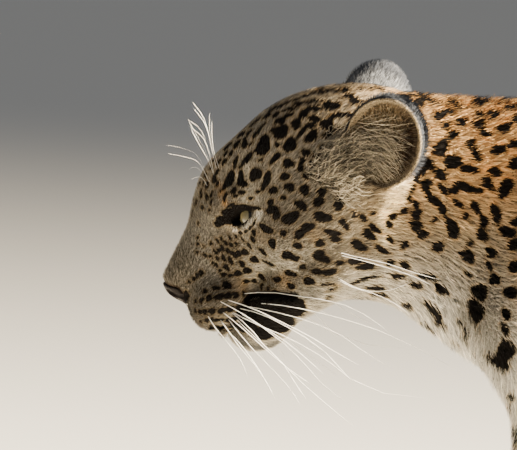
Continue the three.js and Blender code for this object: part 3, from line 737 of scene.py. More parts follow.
        (513.6, 420, 3, 2, 0), (513.6, 444, 4, 2, 0), (508, 430, 3, 1.8, 0)],
}
# Black about the inner corner of the eye, along the eye's outer corner, and over the side of the lower jaw.
darkPatches = (
    (228, 219.5, 6, 3.6, 20), (219, 223.4, 5, 3, 45), (232, 209.8, 7, 2.4, 0), (254.8, 222.8, 3, 0.7, 50),
    (251, 227.4, 2.6, 0.7, 42), (246.2, 231.2, 3, 0.7, 25), (240.6, 233, 2.6, 0.7, 5),
    (230.5, 214, 8, 4.4, 12), (222, 220.5, 7, 4, 40), (235.5, 218.6, 5, 3.4, -20),
    (257, 208.6, 7.5, 1.3, -4), (238, 206.6, 8, 1.6, 4), (231, 205, 5, 1.2, 30), (247, 206.4, 6, 1.4, -6),
    (188, 297.5, 8.5, 3.6, 60), (247, 326, 10, 5, -20), (240, 208.6, 8.5, 2.0, 0),
    (250, 209.2, 4.5, 1.3, -6))
jawPatches = (
    (262, 313, 13, 10, 0), (282, 311, 14, 12, 0), (272, 327, 14, 10, -15), (293, 309, 9, 9, 0),
    (250, 318, 10, 9, 0), (284, 325, 11, 9, 30), (240, 325, 8, 5, 0), (264, 336, 10, 4, 0),
    (257, 331, 9, 5, -10), (252, 306, 9, 8, 0), (266, 303, 14, 7, 0), (286, 301, 15, 7, 0),
    (243, 316, 7, 6, 40), (232, 325, 6, 3, 0))
mouthEdge = ((36, 47, 57, 67, 84, 101, 112, 124), (419, 421, 431, 442, 447.5, 449, 446, 436))
spotWobble = {"two": 0.12, "three": 0.09, "reach": 9.0}
spotList = []


def addSpot(center, normal, lean, half, wide, mirror=False, onJaw=False):
    n = unit(np.array(normal, float))
    t = unit(lean - n * (lean @ n))
    spotList.append((center, t, np.cross(n, t), n, half, wide, rng.uniform(0, 6.28, 2), onJaw))
    if mirror and abs(center[1]) > 5:
        flip = np.array([1, -1, 1])
        shift = vec(rng.normal(0, 1.0), 0, rng.normal(0, 1.0)) * (half < 8)
        spotList.append((center * flip + shift, t * flip, np.cross(n * flip, t * flip), n * flip, half, wide,
                         rng.uniform(0, 6.28, 2), onJaw))


tree = KDTree(len(spots))
for index, point in enumerate(spots):
    tree.insert(point, index)
tree.balance()


def normalAt(point):
    return normals[tree.find(Vector(point))[1]]


# How marks are set on the skin. The fur hides the skin's own top line, so marks there are looked for lower.
marking = {"grow": {"crown": 1.2, "nape": 1.2, "neck": 1.18, "whiskerRows": 1.15}, "usual": 1.04,
           "alongTop": ("crown", "nape"), "lower": (0, 3, 6, 9), "side": {"least": 0.35, "power": 0.5},
           "top": {"least": 0.2, "power": 0.65}}


def placeMarks(marks, grow, onJaw=False, alongTop=False):
    lean = marking["top" if alongTop else "side"]
    for mark in marks:
        x, y, half = mark[:3]
        wide = mark[3] if len(mark) > 3 else half * 0.9
        slope = math.radians(mark[4] if len(mark) > 4 else 0)
        tries = (onSkin(x, y + down) for down in (marking["lower"] if alongTop else (0,)))
        point = next((p for p in tries if p is not None and (p[1] < -4 or not alongTop)), None)
        if point is None:
            continue
        n = normalAt(point)
        slant = max(lean["least"], abs(n @ unit(cameraPlace - point)))
        way = right * math.cos(slope) + above * math.sin(slope)
        small = 0.35 * (half < 4)
        half = (half + small) * pixel * grow
        wide = (wide + small) * pixel * grow / slant ** lean["power"]
        addSpot(point, n, way, half, wide, True, onJaw)


for group, marks in faceSpots.items():
    placeMarks(marks, marking["grow"].get(group, marking["usual"]), alongTop=group in marking["alongTop"])
placeMarks(darkPatches, 1.0)
placeMarks(jawPatches, 1.0, True)
stage(f"{len(spotList)} spots placed by hand")


# The lie of the fur: back from the nose over the head, along the trunk and tail, and down the legs.
def lieAt(p, n):
    x, y, z = p.T
    lie = p - (inHead(-30, -25) + np.stack([0 * x, 0.35 * y, 0 * x], 1))
    lie = mix(unit(lie), np.array([0.96, 0, -0.28]), ramp(x, 120, 220)[:, None])
    lie = mix(lie, np.array([0.97, 0, -0.22]), ramp(x, 260, 420)[:, None])
    side = np.sign(y)
    legness = np.maximum(ramp(z, 350, 318), ramp(z, 450, 340) * ramp(np.abs(y), 45, 78)) * ramp(x, 214, 236)
    legDown = np.stack([0.22 + 0 * x, side * 0.04, -1 + 0 * x], 1)
    onTail = (x > 1075) | ((x > 1040) & (np.abs(y) < 40) & (z > 380))
    legness = legness * ~onTail
    lie = mix(lie, legDown, legness[:, None])
    foot = ramp(z, 96, 50) * (x > 200) * (x < 1060)
    lie = mix(lie, np.array([-1, 0, -0.45]), foot[:, None])
    knots = tailLine[::2]
    k = np.minimum(((p[:, None, :] - knots[None]) ** 2).sum(2).argmin(1), len(knots) - 2)
    lie = np.where(onTail[:, None], unit(knots[k + 1] - knots[k]), lie)
    for s, _ in sides:
        q = local(p, earFrame(s))
        near = (np.abs(q) < [36, 46, 22]).all(1) & (q[:, 1] > -24)
        up = earFrame(s)[1][1]
        lie = np.where(near[:, None], up * 0.9 + lie * 0.3, lie)
    lie = lie - n * (lie * n).sum(1)[:, None]
    return unit(lie)


lies = lieAt(spots, normals)

# Markings of the rest of the animal: solid spots on neck and legs, rosettes on the flanks, rings on the tail.
pattern = {"neck": 21.0, "flank": 46.0, "belly": 34.0, "leg": 24.0, "shin": 17.0, "paw": 12.0, "tail": 29.0,
           "crown": 7.5, "rosette": 17.0, "picks": 26000, "crownTries": 130}


def patternSpacing(p):
    x, y, z = p.T
    out = np.full(len(p), pattern["flank"])
    belly = z < np.interp(x, [216, 300, 430, 600, 750, 850, 1000], [430, 365, 348, 356, 376, 396, 430])
    out[belly] = pattern["belly"]
    out[x < 330] = pattern["neck"]
    out[(z < 335) & (x < 1080)] = pattern["leg"]
    out[(z < 200) & (x < 1080)] = pattern["shin"]
    out[(z < 90) & (x < 1080)] = pattern["paw"]
    out[x > 1040] = pattern["tail"]
    return out


handPlaced = np.array([m[0] for m in spotList])
picks = rng.choice(len(spots), pattern["picks"], replace=False)
picks = picks[(spots[picks, 0] > 205) | (spots[picks, 2] < 330)]
spacings = patternSpacing(spots[picks])
chosen = np.empty((0, 3))
chosenIds = []
for pick, spacing in zip(picks, spacings):
    place = spots[pick]
    if len(chosen) and ((chosen - place) ** 2).sum(1).min() < (spacing * 0.93) ** 2:
        continue
    if place[0] < 372 and place[2] > 320 and ((handPlaced - place) ** 2).sum(1).min() < 20 ** 2:
        continue
    chosen = np.vstack([chosen, place])
    chosenIds.append(pick)
darkCenters = []
for pick in chosenIds:
    place, n, lie = spots[pick], normals[pick], lies[pick]
    spacing = patternSpacing(place[None])[0]
    across = np.cross(n, lie)
    if spacing == pattern["flank"] and 345 < place[0] < 1035 and place[2] > 380:
        big = rng.uniform(0.88, 1.1) * pattern["rosette"]
        blobs = int(rng.integers(4, 7))
        turn = rng.uniform(0, 6.28)
        darkCenters.append((place, big))
        for k in range(blobs):
            if k == 4 and rng.random() < 0.4:
                continue
            angle = turn + 6.283 * k / blobs + rng.normal(0, 0.12)
            radial = lie * math.cos(angle) * 1.12 + across * math.sin(angle) * 0.92
            along = unit(across * math.cos(angle) - lie * math.sin(angle))
            half = rng.uniform(8.2, 11.0) * 5 / (blobs + 0.2)
            addSpot(place + radial * big, n, along, half, rng.uniform(5.2, 6.8))
    else:
        half = spacing * rng.uniform(0.25, 0.33)
        addSpot(place, n, lie, half * rng.uniform(1.0, 1.35), half * rng.uniform(0.72, 0.95))
for s, _ in sides:
    for _ in range(pattern["crownTries"]):
        u, v = rng.uniform(48, 205), rng.uniform(0, 44)
        place = inHead(u, 75, s * v)
        p = place + (inHead(0, -1) - inHead(0, 0)) * np.arange(0, 90, 1.0)[:, None]
        hit = np.nonzero(skinField(p) < 0)[0]
        if not len(hit):
            continue
        place = p[hit[0]]
        if min(((m[0] - place) ** 2).sum() for m in spotList) < pattern["crown"] ** 2:
            continue
        index = tree.find(Vector(place))[1]
        addSpot(place, normals[index], lies[index], rng.uniform(2.2, 4.2), rng.uniform(1.0, 1.7))
stage(f"{len(spotList)} spots in all")


# How far points are outside the nearest spot, in mm. The points are grouped by the root they belong to.
def spotDepth(roots, points, rootTree):
    out = np.full(points.shape[:2], 9.0)
    for center, t, b, n, half, wide, phase, onJaw in spotList:
        found = rootTree.find_range(Vector(center), half * 1.3 + spotWobble["reach"])
        if not found:
            continue
        ids = np.array([f[1] for f in found])
        if onJaw:
            ids = ids[roots[ids, 2] < np.interp(roots[ids, 0], *mouthEdge)]
        q = points[ids] - center
        a, c, d = q @ t / half, q @ b / wide, q @ n / (2.5 * half)
        turn = np.arctan2(c, a)
        size = 1 + spotWobble["two"] * np.sin(2 * turn + phase[0])
        size = size + spotWobble["three"] * np.sin(3 * turn + phase[1])
        k = np.sqrt(a * a + c * c + d * d) / size
        out[ids] = np.minimum(out[ids], (k - 1) * math.sqrt(half * wide))
    return out


# Rings and the dark end of the tail.
def tailRings(points):
    gap = ((points[..., None, :] - tailLine) ** 2).sum(-1)
    along = gap.argmin(-1) / 30
    rings = (np.abs((along * 15) % 1 - 0.5) - 0.22) * 46
    return np.where(along > 0.94, -2.0, np.where(along > 0.6, rings, 9))


spotEdge = spotDepth(spots, spots[:, None, :], tree)[:, 0]
onTail = spots[:, 0] > 1060
spotEdge[onTail] = np.minimum(spotEdge[onTail], tailRings(spots[onTail]))
stage("spot edges measured")

# Fur tones, as linear colours.
tones = {"gold": (0.46, 0.255, 0.095), "ochre": (0.46, 0.30, 0.14), "tan": (0.42, 0.325, 0.20),
         "cream": (0.66, 0.52, 0.33), "faceTan": (0.275, 0.238, 0.18), "grey": (0.22, 0.20, 0.165),
         # One tone here is painted shade: the dark brown laid over the muzzle and the side of the cheek.
         "faceShade": (0.115, 0.10, 0.076), "chin": (0.088, 0.088, 0.085), "blueGrey": (0.175, 0.185, 0.205),
         # The warm near-white tone is painted sunlight, laid on the ruff behind the cheek.
         "paintedSunlight": (1.0, 0.86, 0.58), "pale": (0.60, 0.555, 0.45), "white": (0.70, 0.67, 0.59),
         "black": (0.005, 0.0042, 0.0038), "inner": (0.32, 0.25, 0.16),
         "cupShade": (0.115, 0.078, 0.052), "slate": (0.045, 0.050, 0.062),
         "brown": (0.045, 0.026, 0.016)}
tones = {name: np.array(rgb) for name, rgb in tones.items()}
# Each patch of another tone: its place in the picture, its reach in pixels, its tone and its strength.
patches = (
    (260, 214, 4.4, "white", 0.9), (257.5, 218.5, 4.4, "white", 0.9), (253.5, 223, 4.4, "white", 0.9),
    (248.5, 227, 4.4, "white", 0.9), (242, 229.8, 4.4, "white", 0.9), (236, 230.6, 4.4, "white", 0.8),
    (229.5, 228, 4, "cream", 0.5), (237, 179, 5, "pale", 0.7), (248, 171, 6, "pale", 0.5),
    (249, 189, 7, "pale", 0.5), (244, 198, 6, "pale", 0.5), (257, 200, 7, "pale", 0.4),
    (222, 195, 5, "gold", 0.6), (225, 203.5, 4, "gold", 0.7), (219, 188, 5, "gold", 0.35),
    # Patches of the dark brown face tone over the muzzle and the side of the cheek are painted shade.
    (195, 243, 22, "grey", 0.7), (188, 270, 22, "faceShade", 0.75), (212, 283, 18, "faceShade", 0.5),
    (205, 305, 20, "faceShade", 0.45), (228, 250, 16, "faceShade", 0.45), (206, 222, 14, "grey", 0.6),
    (207, 268, 16, "grey", 0.5), (240, 287, 10, "ochre", 0.3), (284, 281, 9, "ochre", 0.3),
    (312, 237, 7, "ochre", 0.35), (262, 238, 9, "ochre", 0.2), (300, 222, 34, "faceShade", 0.36),
    # The wide grey patches low on the neck and chest, from (505, 400) to (490, 250), are painted shade.
    (262, 250, 26, "faceShade", 0.3), (320, 262, 24, "faceShade", 0.32), (505, 400, 40, "grey", 0.5),
    (490, 330, 40, "grey", 0.45), (470, 300, 30, "grey", 0.35), (430, 270, 34, "grey", 0.35),
    (490, 250, 34, "grey", 0.35), (243, 341, 9, "chin", 0.95), (256, 347, 9, "chin", 0.95),
    (270, 345, 8, "chin", 0.95), (234, 334, 5, "chin", 0.6), (312, 293, 9, "chin", 0.5),
    (240, 352, 14, "chin", 0.7), (345, 292, 12, "white", 0.4), (370, 276, 14, "pale", 0.3),
    # The bright warm patches on the ruff behind the cheek are painted sunlight.
    (400, 292, 14, "pale", 0.5), (430, 300, 14, "white", 0.4), (398, 186, 8, "paintedSunlight", 1.0),
    (391, 200, 10, "paintedSunlight", 1.0), (383, 217, 11, "paintedSunlight", 1.0), (380, 236, 9, "paintedSunlight", 0.8),
    (372, 216, 7, "cream", 0.5), (345, 165, 16, "inner", 0.5), (365, 180, 14, "inner", 0.5))


def baseTone(p, n):
    x, y, z = p.T
    low = np.interp(x, [0, 100, 216, 300, 430, 600, 750, 850, 1000],
                    [400, 400, 405, 345, 318, 326, 345, 368, 405])
    high = np.interp(x, [0, 100, 216, 370, 600, 800, 930, 1035], [480, 600, 606, 620, 592, 598, 598, 560])
    t = np.clip((z - low) / (high - low), 0, 1)
    outer = ramp(np.abs(y), 60, 92) * np.maximum(ramp(x, 300, 340) * ramp(x, 450, 410), ramp(x, 760, 820))
    t = np.maximum(t, 0.34 * outer)
    t = (t - 0.13 * ramp(x, 430, 260) * (t > 0))[:, None]
    x, y, z = x[:, None], y[:, None], z[:, None]
    body = mix(tones["white"], tones["tan"], ramp(t, 0.0, 0.4))
    body = mix(body, tones["ochre"], ramp(t, 0.3, 0.66))
    body = mix(body, tones["gold"], ramp(t, 0.62, 0.98))
    under = ramp(-n[:, 2:3], 0.35, 1.0) * ramp(z, 440, 380)
    body = mix(body, tones["white"], under * 0.8)
    # The face darkens from the brow down: painted shade on the side of the face.
    face = mix(tones["faceTan"], tones["tan"], ramp(x, 110, 190) * 0.7) * (1 - 0.42 * ramp(z, 560, 500))
    face = mix(face, tones["pale"], ramp(-n[:, 2:3], 0.05, 0.7) * ramp(x, 20, 60) * 0.7)
    out = mix(face, body, ramp(x, 130, 235))
    inward = ramp(-n[:, 1:2] * np.sign(y), 0.0, 0.7)
    leg = mix(tones["tan"], tones["pale"], np.maximum(inward, ramp(z, 300, 150) * 0.5) * 0.85)
    front = ramp(-n[:, 0:1], 0.1, 0.8) * ramp(x, 420, 380)
    leg = mix(leg, tones["white"], front * 0.6)
    legness = ramp(z, 400, 310) * ramp(x, 214, 236) * (x < 1080)
    out = mix(out, leg, legness)
    behind = ramp(x, 1040, 1090)
    tailTone = mix(tones["ochre"], tones["white"], ramp(-n[:, 2:3], -0.2, 0.7) * 0.85)
    return mix(out, tailTone, behind)


# Whether places in an ear's frame are near the ear, and whether they are on the ear itself.
def byEar(q):
    return (np.abs(q) < [37, 48, 26]).all(1)


def onEar(q):
    return byEar(q) & (eggDepth(q, np.array(ear["half"])) < 1.6) & (q[:, 1] > -26)


tone = baseTone(spots, normals)
for x, y, size, name, strength in patches:
    point = onSkin(x, y)
    if point is None:
        continue
    for s in (1, -1):
        center = point * [1, s, 1]
        d = np.linalg.norm(spots - center, axis=1) / (size * pixel)
        tone = mix(tone, tones[name], (strength * np.exp(-(d ** 3)))[:, None])
for center, big in darkCenters:
    found = tree.find_range(Vector(center), big * 1.25)
    ids = np.array([f[1] for f in found])
    weight = 0.7 * ramp(np.array([f[2] for f in found]), big * 1.2, big * 0.6)
    tone[ids] = mix(tone[ids], tone[ids] * [0.72, 0.60, 0.5], weight[:, None])
bare = np.zeros(len(spots))
for s, _ in sides:
    q = local(spots, eyeFrame(s))
    ring = np.abs(opening(q))
    close = (np.linalg.norm(q, axis=1) < 24) & (q[:, 2] > 2)
    reach = 2.2 + 1.2 * ramp(q[:, 0], 4, -10)
    rim = close * ramp(ring, reach + 0.9, reach - 0.9)
    rim = np.maximum(rim, ((np.linalg.norm(q, axis=1) < 18.4) & (ring < 3)).astype(float))
    tone = mix(tone, tones["black"], rim[:, None])
    bare = np.maximum(bare, close * (ring < 1.6))
    bare = np.maximum(bare, np.linalg.norm(q, axis=1) < 17.2)
    lip = pathDepth(spots, mouthPaths[s], [0] * 7)
    tone = mix(tone, tones["black"], ramp(lip, 4.2, 2.2)[:, None])
    bare = np.maximum(bare, lip < 2.6)
    q = local(spots, earFrame(s))
    near = byEar(q)
    cup = eggDepth(q - [0, 0, ear["offset"]], np.array(ear["inner"]))
    inside = near & (np.abs(cup) < 2.2) & (q[:, 2] < ear["rim"] + 1)
    gap = ear["rim"] - q[:, 2]
    rear = -q[:, 0] * ear["forward"][s]
    deep = (ramp(rear, -6, 16) * ramp(gap, 2.5, 12))[:, None]
    lining = mix(tones["inner"], tones["cupShade"], deep)
    tone = np.where(inside[:, None], lining, tone)
    bare = np.maximum(bare, inside & (gap < 6))
    behind = near & ~inside & (q[:, 1] > -24)
    patch = ramp(np.hypot((q[:, 0] - 3) / 25, (q[:, 1] - 6) / 21), 1.25, 0.85)
    shell = mix(tones["slate"], tones["blueGrey"], patch[:, None])
    # The cream at the ear's edge is partly a pale fringe of fur, partly painted backlit glow.
    edging = mix(tones["cream"], tones["ochre"], ramp(gap, 0.2, 1.5)[:, None])
    shell = mix(edging, shell, ramp(gap, 1, 3)[:, None])
    shell = mix(tone, shell, ramp(q[:, 1], -24, -12)[:, None])
    tone = np.where(behind[:, None], shell, tone)
    # Cream brighter than the cream tone round the ear's rim: partly pale fur, partly painted backlit glow.
    rimGlow = near * ramp(gap, 1.7, 0.4) * ramp(q[:, 1] - 0.8 * ear["forward"][s] * q[:, 0], -22, -8)
    tone = mix(tone, tones["cream"] * 1.1, 0.9 * rimGlow[:, None])
    spotEdge = np.where(onEar(q), 9.0, spotEdge)
sole = spots[:, 2] < 3.5
tone = np.where(sole[:, None], tones["black"] * 3, tone)
bare = np.maximum(bare, sole)
gap = noseEgg(spots)
bare = np.maximum(bare, gap < 1.2)
tone = mix(tone, tones["brown"], ramp(gap, 3.0, 0.6)[:, None])
bare = np.maximum(bare, nostrils(spots) < 1)
stage("tones mixed")


# An unwrap of the skin: for head, trunk, tail, each leg and each ear the left, bottom, width and height.
charts = {"head": (0.01, 0.51, 0.29, 0.48), "trunk": (0.36, 0.51, 0.63, 0.48),
          "tail": (0.93, 0.01, 0.06, 0.48),
          "foreleft": (0.01, 0.01, 0.20, 0.48), "foreright": (0.23, 0.01, 0.20, 0.48),
          "hindleft": (0.46, 0.01, 0.20, 0.48), "hindright": (0.69, 0.01, 0.20, 0.48),
          "earleft": (0.31, 0.51, 0.04, 0.23), "earright": (0.31, 0.76, 0.04, 0.23)}
chartNames = list(charts)


def chartOf(p):
    x, y, z = p.T
    out = np.full(len(p), chartNames.index("trunk"))
    out[(x < space["join"]) & (z > 330)] = chartNames.index("head")
    low = (z < 345) & (x < 1080) & (x > 200)
    for name, s in (("left", -1), ("right", 1)):
        out[low & (x < 600) & (y * s > 0)] = chartNames.index("fore" + name)
        out[low & (x > 600) & (y * s > 0)] = chartNames.index("hind" + name)
    out[(x > 1075) | ((x > 1044) & (np.abs(y) < 40))] = chartNames.index("tail")
    for s, name in sides:
        q = local(p, earFrame(s))
        out[(np.abs(q) < [38, 48, 24]).all(1) & (q[:, 1] > -14)] = chartNames.index("ear" + name)
    return out


# The angle of points round the axis of their chart, and how far they are along it.
def chartAngle(name, p):
    x, y, z = p.T
    if name in ("head", "trunk"):
        return np.arctan2(y, z - np.interp(x, [0, 216, 1060], [440, 505, 500]))
    if name == "tail":
        return np.arctan2(y - 20, z - np.interp(x, [1040, 1240, 1474], [540, 150, 200]))
    return np.arctan2(np.abs(y) - 86, x - (320 if name.startswith("fore") else 960))


def chartAlong(name, p):
    if name == "head":
        return p[:, 0] / 216
    if name == "trunk":
        return (p[:, 0] - 216) / 870
    if name == "tail":
        return (p[:, 0] - 1040) / 450
    return p[:, 2] / 350


def unwrap(p, chart, about):
    u, v = np.zeros(len(p)), np.zeros(len(p))
    for index, name in enumerate(chartNames):
        rows = np.nonzero(chart == index)[0]
        if not len(rows):
            continue
        q, mid = p[rows], about[rows]
        if name.startswith("ear"):
            frameAt = earFrame(-1 if name == "earleft" else 1)
            flat, flatMid = local(q, frameAt), local(mid, frameAt)
            a = (flat[:, 0] + 40) / 80
            b = (flat[:, 1] + 50) / 100 * 0.48 + np.where(flatMid[:, 2] > -4, 0, 0.5)
        else:
            base = chartAngle(name, mid)
            turn = base + (chartAngle(name, q) - base + math.pi) % (2 * math.pi) - math.pi
            a, b = chartAlong(name, q), turn / (2 * math.pi) + 0.5
        left, bottom, wide, tall = charts[name]
        u[rows] = left + wide * np.clip(a, 0, 1)
        v[rows] = bottom + tall * np.clip(b * 0.94 + 0.03, 0, 1)
    return np.stack([u, v], 1)


def opaque(colors):
    return np.concatenate([colors, np.ones((len(colors), 1))], 1)


def makeMesh(name, points, groups, values, uv, material, inRow=False):
    mesh = bpy.data.meshes.new(name)
    rows = np.asarray(points, float) if inRow else toRow(points)
    mesh.vertices.add(len(rows))
    mesh.vertices.foreach_set("co", rows.astype(np.float32).ravel())
    corners = np.concatenate([g.ravel() for g in groups]).astype(np.int32)
    counts = np.concatenate([np.full(len(g), g.shape[1]) for g in groups])
    mesh.loops.add(len(corners))
    mesh.loops.foreach_set("vertex_index", corners)
    mesh.polygons.add(len(counts))
    mesh.polygons.foreach_set("loop_start", np.concatenate([[0], np.cumsum(counts)[:-1]]).astype(np.int32))
    mesh.polygons.foreach_set("use_smooth", np.full(len(counts), True))
    for key, data in (values or {}).items():
        kinds = {1: ("FLOAT", "value"), 3: ("FLOAT_VECTOR", "vector"), 4: ("FLOAT_COLOR", "color")}
        kind, field = kinds[1 if data.ndim == 1 else data.shape[1]]
        mesh.attributes.new(key, kind, "POINT").data.foreach_set(field, data.astype(np.float32).ravel())
    mesh.update(calc_edges=True)
    if uv is not None:
        layer = mesh.uv_layers.new(name="OFBake")
        layer.uv.foreach_set("vector", uv.astype(np.float32).ravel())
    mesh.materials.append(material)
    thing = bpy.data.objects.new(name, mesh)
    bpy.context.scene.collection.objects.link(thing)
    return thing


# Shader maths as expressions.
class Graph:
    def __init__(self, name):
        self.material = bpy.data.materials.new(name)
        self.material.use_nodes = True
        self.tree = self.material.node_tree
        self.shader = self.tree.nodes["Principled BSDF"]

    def add(self, kind, settings=None, inputs=None, output=0):
        node = self.tree.nodes.new(kind)
        for key, value in (settings or {}).items():
            setattr(node, key, value)
        for key, value in (inputs or {}).items():
            self.feed(node.inputs[key], value)
        return Wire(self, node.outputs[output])

    def feed(self, socket, value):
        if isinstance(value, Wire):
            self.tree.links.new(value.socket, socket)
        else:
            socket.default_value = value

    def attribute(self, name, output=0):
        return self.add("ShaderNodeAttribute", {"attribute_name": name}, output=output)

    def noise(self, place, scale, detail=2.0):
        return self.add("ShaderNodeTexNoise", None, {"Vector": place, "Scale": scale, "Detail": detail})

    def blend(self, factor, a, b):
        return self.add("ShaderNodeMix", {"data_type": "RGBA"}, {0: factor, 6: a, 7: b}, 2)

    def step(self, value, low, high):
        return self.add("ShaderNodeMapRange", {"interpolation_type": "SMOOTHSTEP"},
                        {"Value": value, "From Min": low, "From Max": high})

    def scaled(self, color, factor):
        return self.add("ShaderNodeVectorMath", {"operation": "SCALE"}, {0: color, 3: factor})

    def tinted(self, color, by):
        return self.add("ShaderNodeVectorMath", {"operation": "MULTIPLY"}, {0: color, 1: by})

    def bump(self, height, strength, distance):
        values = {"Height": height, "Strength": strength, "Distance": distance}
        return self.add("ShaderNodeBump", None, values)

    def surface(self, **values):
        names = {"color": "Base Color", "roughness": "Roughness", "normal": "Normal", "coat": "Coat Weight",
                 "coatRoughness": "Coat Roughness", "specular": "Specular IOR Level"}
        for key, value in values.items():
            self.feed(self.shader.inputs[names[key]], value)
        return self.material


class Wire:
    def __init__(self, graph, socket):
        self.graph, self.socket = graph, socket

    def maths(self, operation, a, b):
        return self.graph.add("ShaderNodeMath", {"operation": operation}, {0: a, 1: b})

    def __add__(self, other):
        return self.maths("ADD", self, other)

    def __radd__(self, other):
        return self.maths("ADD", other, self)

    def __sub__(self, other):
        return self.maths("SUBTRACT", self, other)

    def __rsub__(self, other):
        return self.maths("SUBTRACT", other, self)

    def __mul__(self, other):
        return self.maths("MULTIPLY", self, other)

    def __rmul__(self, other):
        return self.maths("MULTIPLY", other, self)


# Fur: its tone with finer and broader unevenness, lighter tips, and ragged black spots with a warm edge.
def furMaterial(name, settings):
    g = Graph(name)
    place = g.attribute("root", 1)
    hair = g.noise(place, settings["hairScale"], 1.0)
    broad = g.noise(place, settings["broadScale"], 3.0)
    light = settings["floor"] + (hair - 0.5) * settings["speckle"] + (broad - 0.5) * settings["uneven"]
    light = light + g.attribute("along", 2) * settings["tip"]
    fur = g.scaled(g.attribute("tone"), light)
    edge = g.attribute("spot", 2) + (g.noise(place, settings["edgeScale"], 2.0) - 0.5) * settings["ragged"]
    fur = g.blend(g.step(edge, *settings["warmEdge"]), g.tinted(fur, settings["warm"]), fur)
    dark = g.scaled(settings["dark"], 0.5 + hair)
    color = g.blend(g.step(edge, *settings["edge"]), dark, fur)
    values = {"color": color, "roughness": settings["roughness"], "specular": settings["specular"]}
    if settings["bump"] > 0:
        values["normal"] = g.bump(hair, settings["bump"], settings["relief"])
    return g.surface(**values)


coatLook = {"hairScale": 800.0, "broadScale": 45.0, "edgeScale": 520.0, "floor": 0.92, "speckle": 2.0,
            "uneven": 0.3, "tip": 0.16, "ragged": 1.9, "edge": (-0.1, 0.9), "warmEdge": (0.5, 2.6),
            "warm": (0.94, 0.82, 0.65), "dark": (0.0050, 0.0040, 0.0034), "roughness": 0.66, "specular": 0.12,
            "bump": 0.0, "relief": 0.0006}
skinLook = dict(coatLook, floor=0.60, tip=0.0, roughness=0.85, specular=0.06, bump=0.6)
coatMaterial = furMaterial("coat", coatLook)
skinMaterial = furMaterial("skin", skinLook)

uvs = []
for faces in (quads, triangles):
    middle = spots[faces].mean(1)
    chart = np.repeat(chartOf(middle), faces.shape[1])
    uvs.append(unwrap(spots[faces.ravel()], chart, np.repeat(middle, faces.shape[1], axis=0)))
skin = makeMesh("skin", spots, [quads, triangles],
                {"tone": opaque(tone), "spot": spotEdge, "root": toRow(spots), "along": np.zeros(len(spots))},
                np.concatenate(uvs), skinMaterial)
stage("skin built")
fleshNodes = [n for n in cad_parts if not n.startswith("eye") and n != "nose"]
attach(skin, "root")
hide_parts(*fleshNodes)

# The coat: tufts that lie back along the body. Size and number follow the region.
tuft = {"lift": 0.55, "lean": 0.14, "sink": 0.35, "carry": 0.6, "mottle": 0.24, "perPiece": 32000,
        "patch": 0.003, "share": 1.0}


# The fluff before each ear.
def fluffAt(q, s):
    return ramp(np.linalg.norm(q - [ear["forward"][s] * 20, -34, 4], axis=1), 30, 14)


# The length of a tuft at a place, and the area of skin that it covers.
def furAt(p):
    x, y, z = p.T
    length = 3.0 + 2.0 * ramp(x, 40, 110) + 4.5 * ramp(x, 110, 230) + 4.5 * ramp(x, 230, 420)
    area = 2.0 + 0.5 * ramp(x, 60, 120) + 1.7 * ramp(x, 130, 225) + 4.8 * ramp(x, 290, 430)
    belly = ramp(z, 390, 340) * ramp(x, 300, 380) * ramp(np.abs(y), 84, 56)
    length = mix(length, 19, belly)
    leg = ramp(z, 350, 310) * ramp(x, 214, 236) * (x < 1080) * (1 - belly)
    length, area = mix(length, 8.0, leg), mix(area, 5.2, leg)
    foot = ramp(z, 110, 60) * (x > 200) * (x < 1080)
    length, area = mix(length, 4.5, foot), mix(area, 3.0, foot)
    length, area = mix(length, 14, ramp(x, 1060, 1100)), mix(area, 7.5, ramp(x, 1060, 1100))
    for s, _ in sides:
        q = local(p, earFrame(s))
        near = byEar(q) & (q[:, 1] > -20)
        inCup = near & (eggDepth(q - [0, 0, ear["offset"]], np.array(ear["inner"])) < 2.5)
        short = np.where(inCup, 1.2, np.where(q[:, 2] > -4, 2.2, 4.0))
        length, area = np.where(near, short, length), np.where(near, np.where(inCup, 2.6, 1.7), area)
        fluff = fluffAt(q, s) * ~inCup
        length, area = mix(length, 13, fluff), mix(area, 3.0, fluff)
    return length, area


corner = spots[quads]
diagonal = np.cross(corner[:, 2] - corner[:, 0], corner[:, 3] - corner[:, 1])
faceArea = np.linalg.norm(diagonal, axis=1) / 2
faceMiddle = corner.mean(1)
_, areaPer = furAt(faceMiddle)
bareFace = bare[quads].max(1) > 0.5
expected = np.where(bareFace, 0, faceArea / areaPer * tuft["share"])
number = np.floor(expected + rng.random(len(expected))).astype(int)
owner = np.repeat(np.arange(len(quads)), number)
a, b = rng.random(len(owner)), rng.random(len(owner))
weights = np.stack([(1 - a) * (1 - b), a * (1 - b), a * b, (1 - a) * b], 1)
ids = quads[owner]


def lerped(data):
    w = weights[:, :, None] if data.ndim == 2 else weights
    return (data[ids] * w).sum(1)


rootAt, rootNormal, rootLie = lerped(spots), unit(lerped(normals)), lerped(lies)
rootTone = lerped(tone)
length, area = furAt(rootAt)
count = len(rootAt)
length = length * rng.uniform(0.7, 1.25, count)
wide = np.sqrt(area) * rng.uniform(0.42, 0.62, count)
height = coatDepth(rootAt) * rng.uniform(0.45, 0.95, count) + 0.25
rootLie = rootLie - rootNormal * (rootLie * rootNormal).sum(1)[:, None]
across = np.cross(rootNormal, unit(rootLie))
turned = unit(unit(rootLie) + across * rng.normal(0, tuft["lean"], count)[:, None])
across = np.cross(rootNormal, turned)
bend = rng.normal(0, 0.12, count) * length
chart = chartOf(rootAt)
rootUv = unwrap(rootAt, chart, rootAt)
stage(f"{count} tufts rooted")


def column(v):
    return v[:, None]


fluffed = np.zeros(count)
for s, _ in sides:
    fluffed = np.maximum(fluffed, fluffAt(local(rootAt, earFrame(s)), s))
height = height + fluffed * rng.uniform(0.5, 4.5, count)
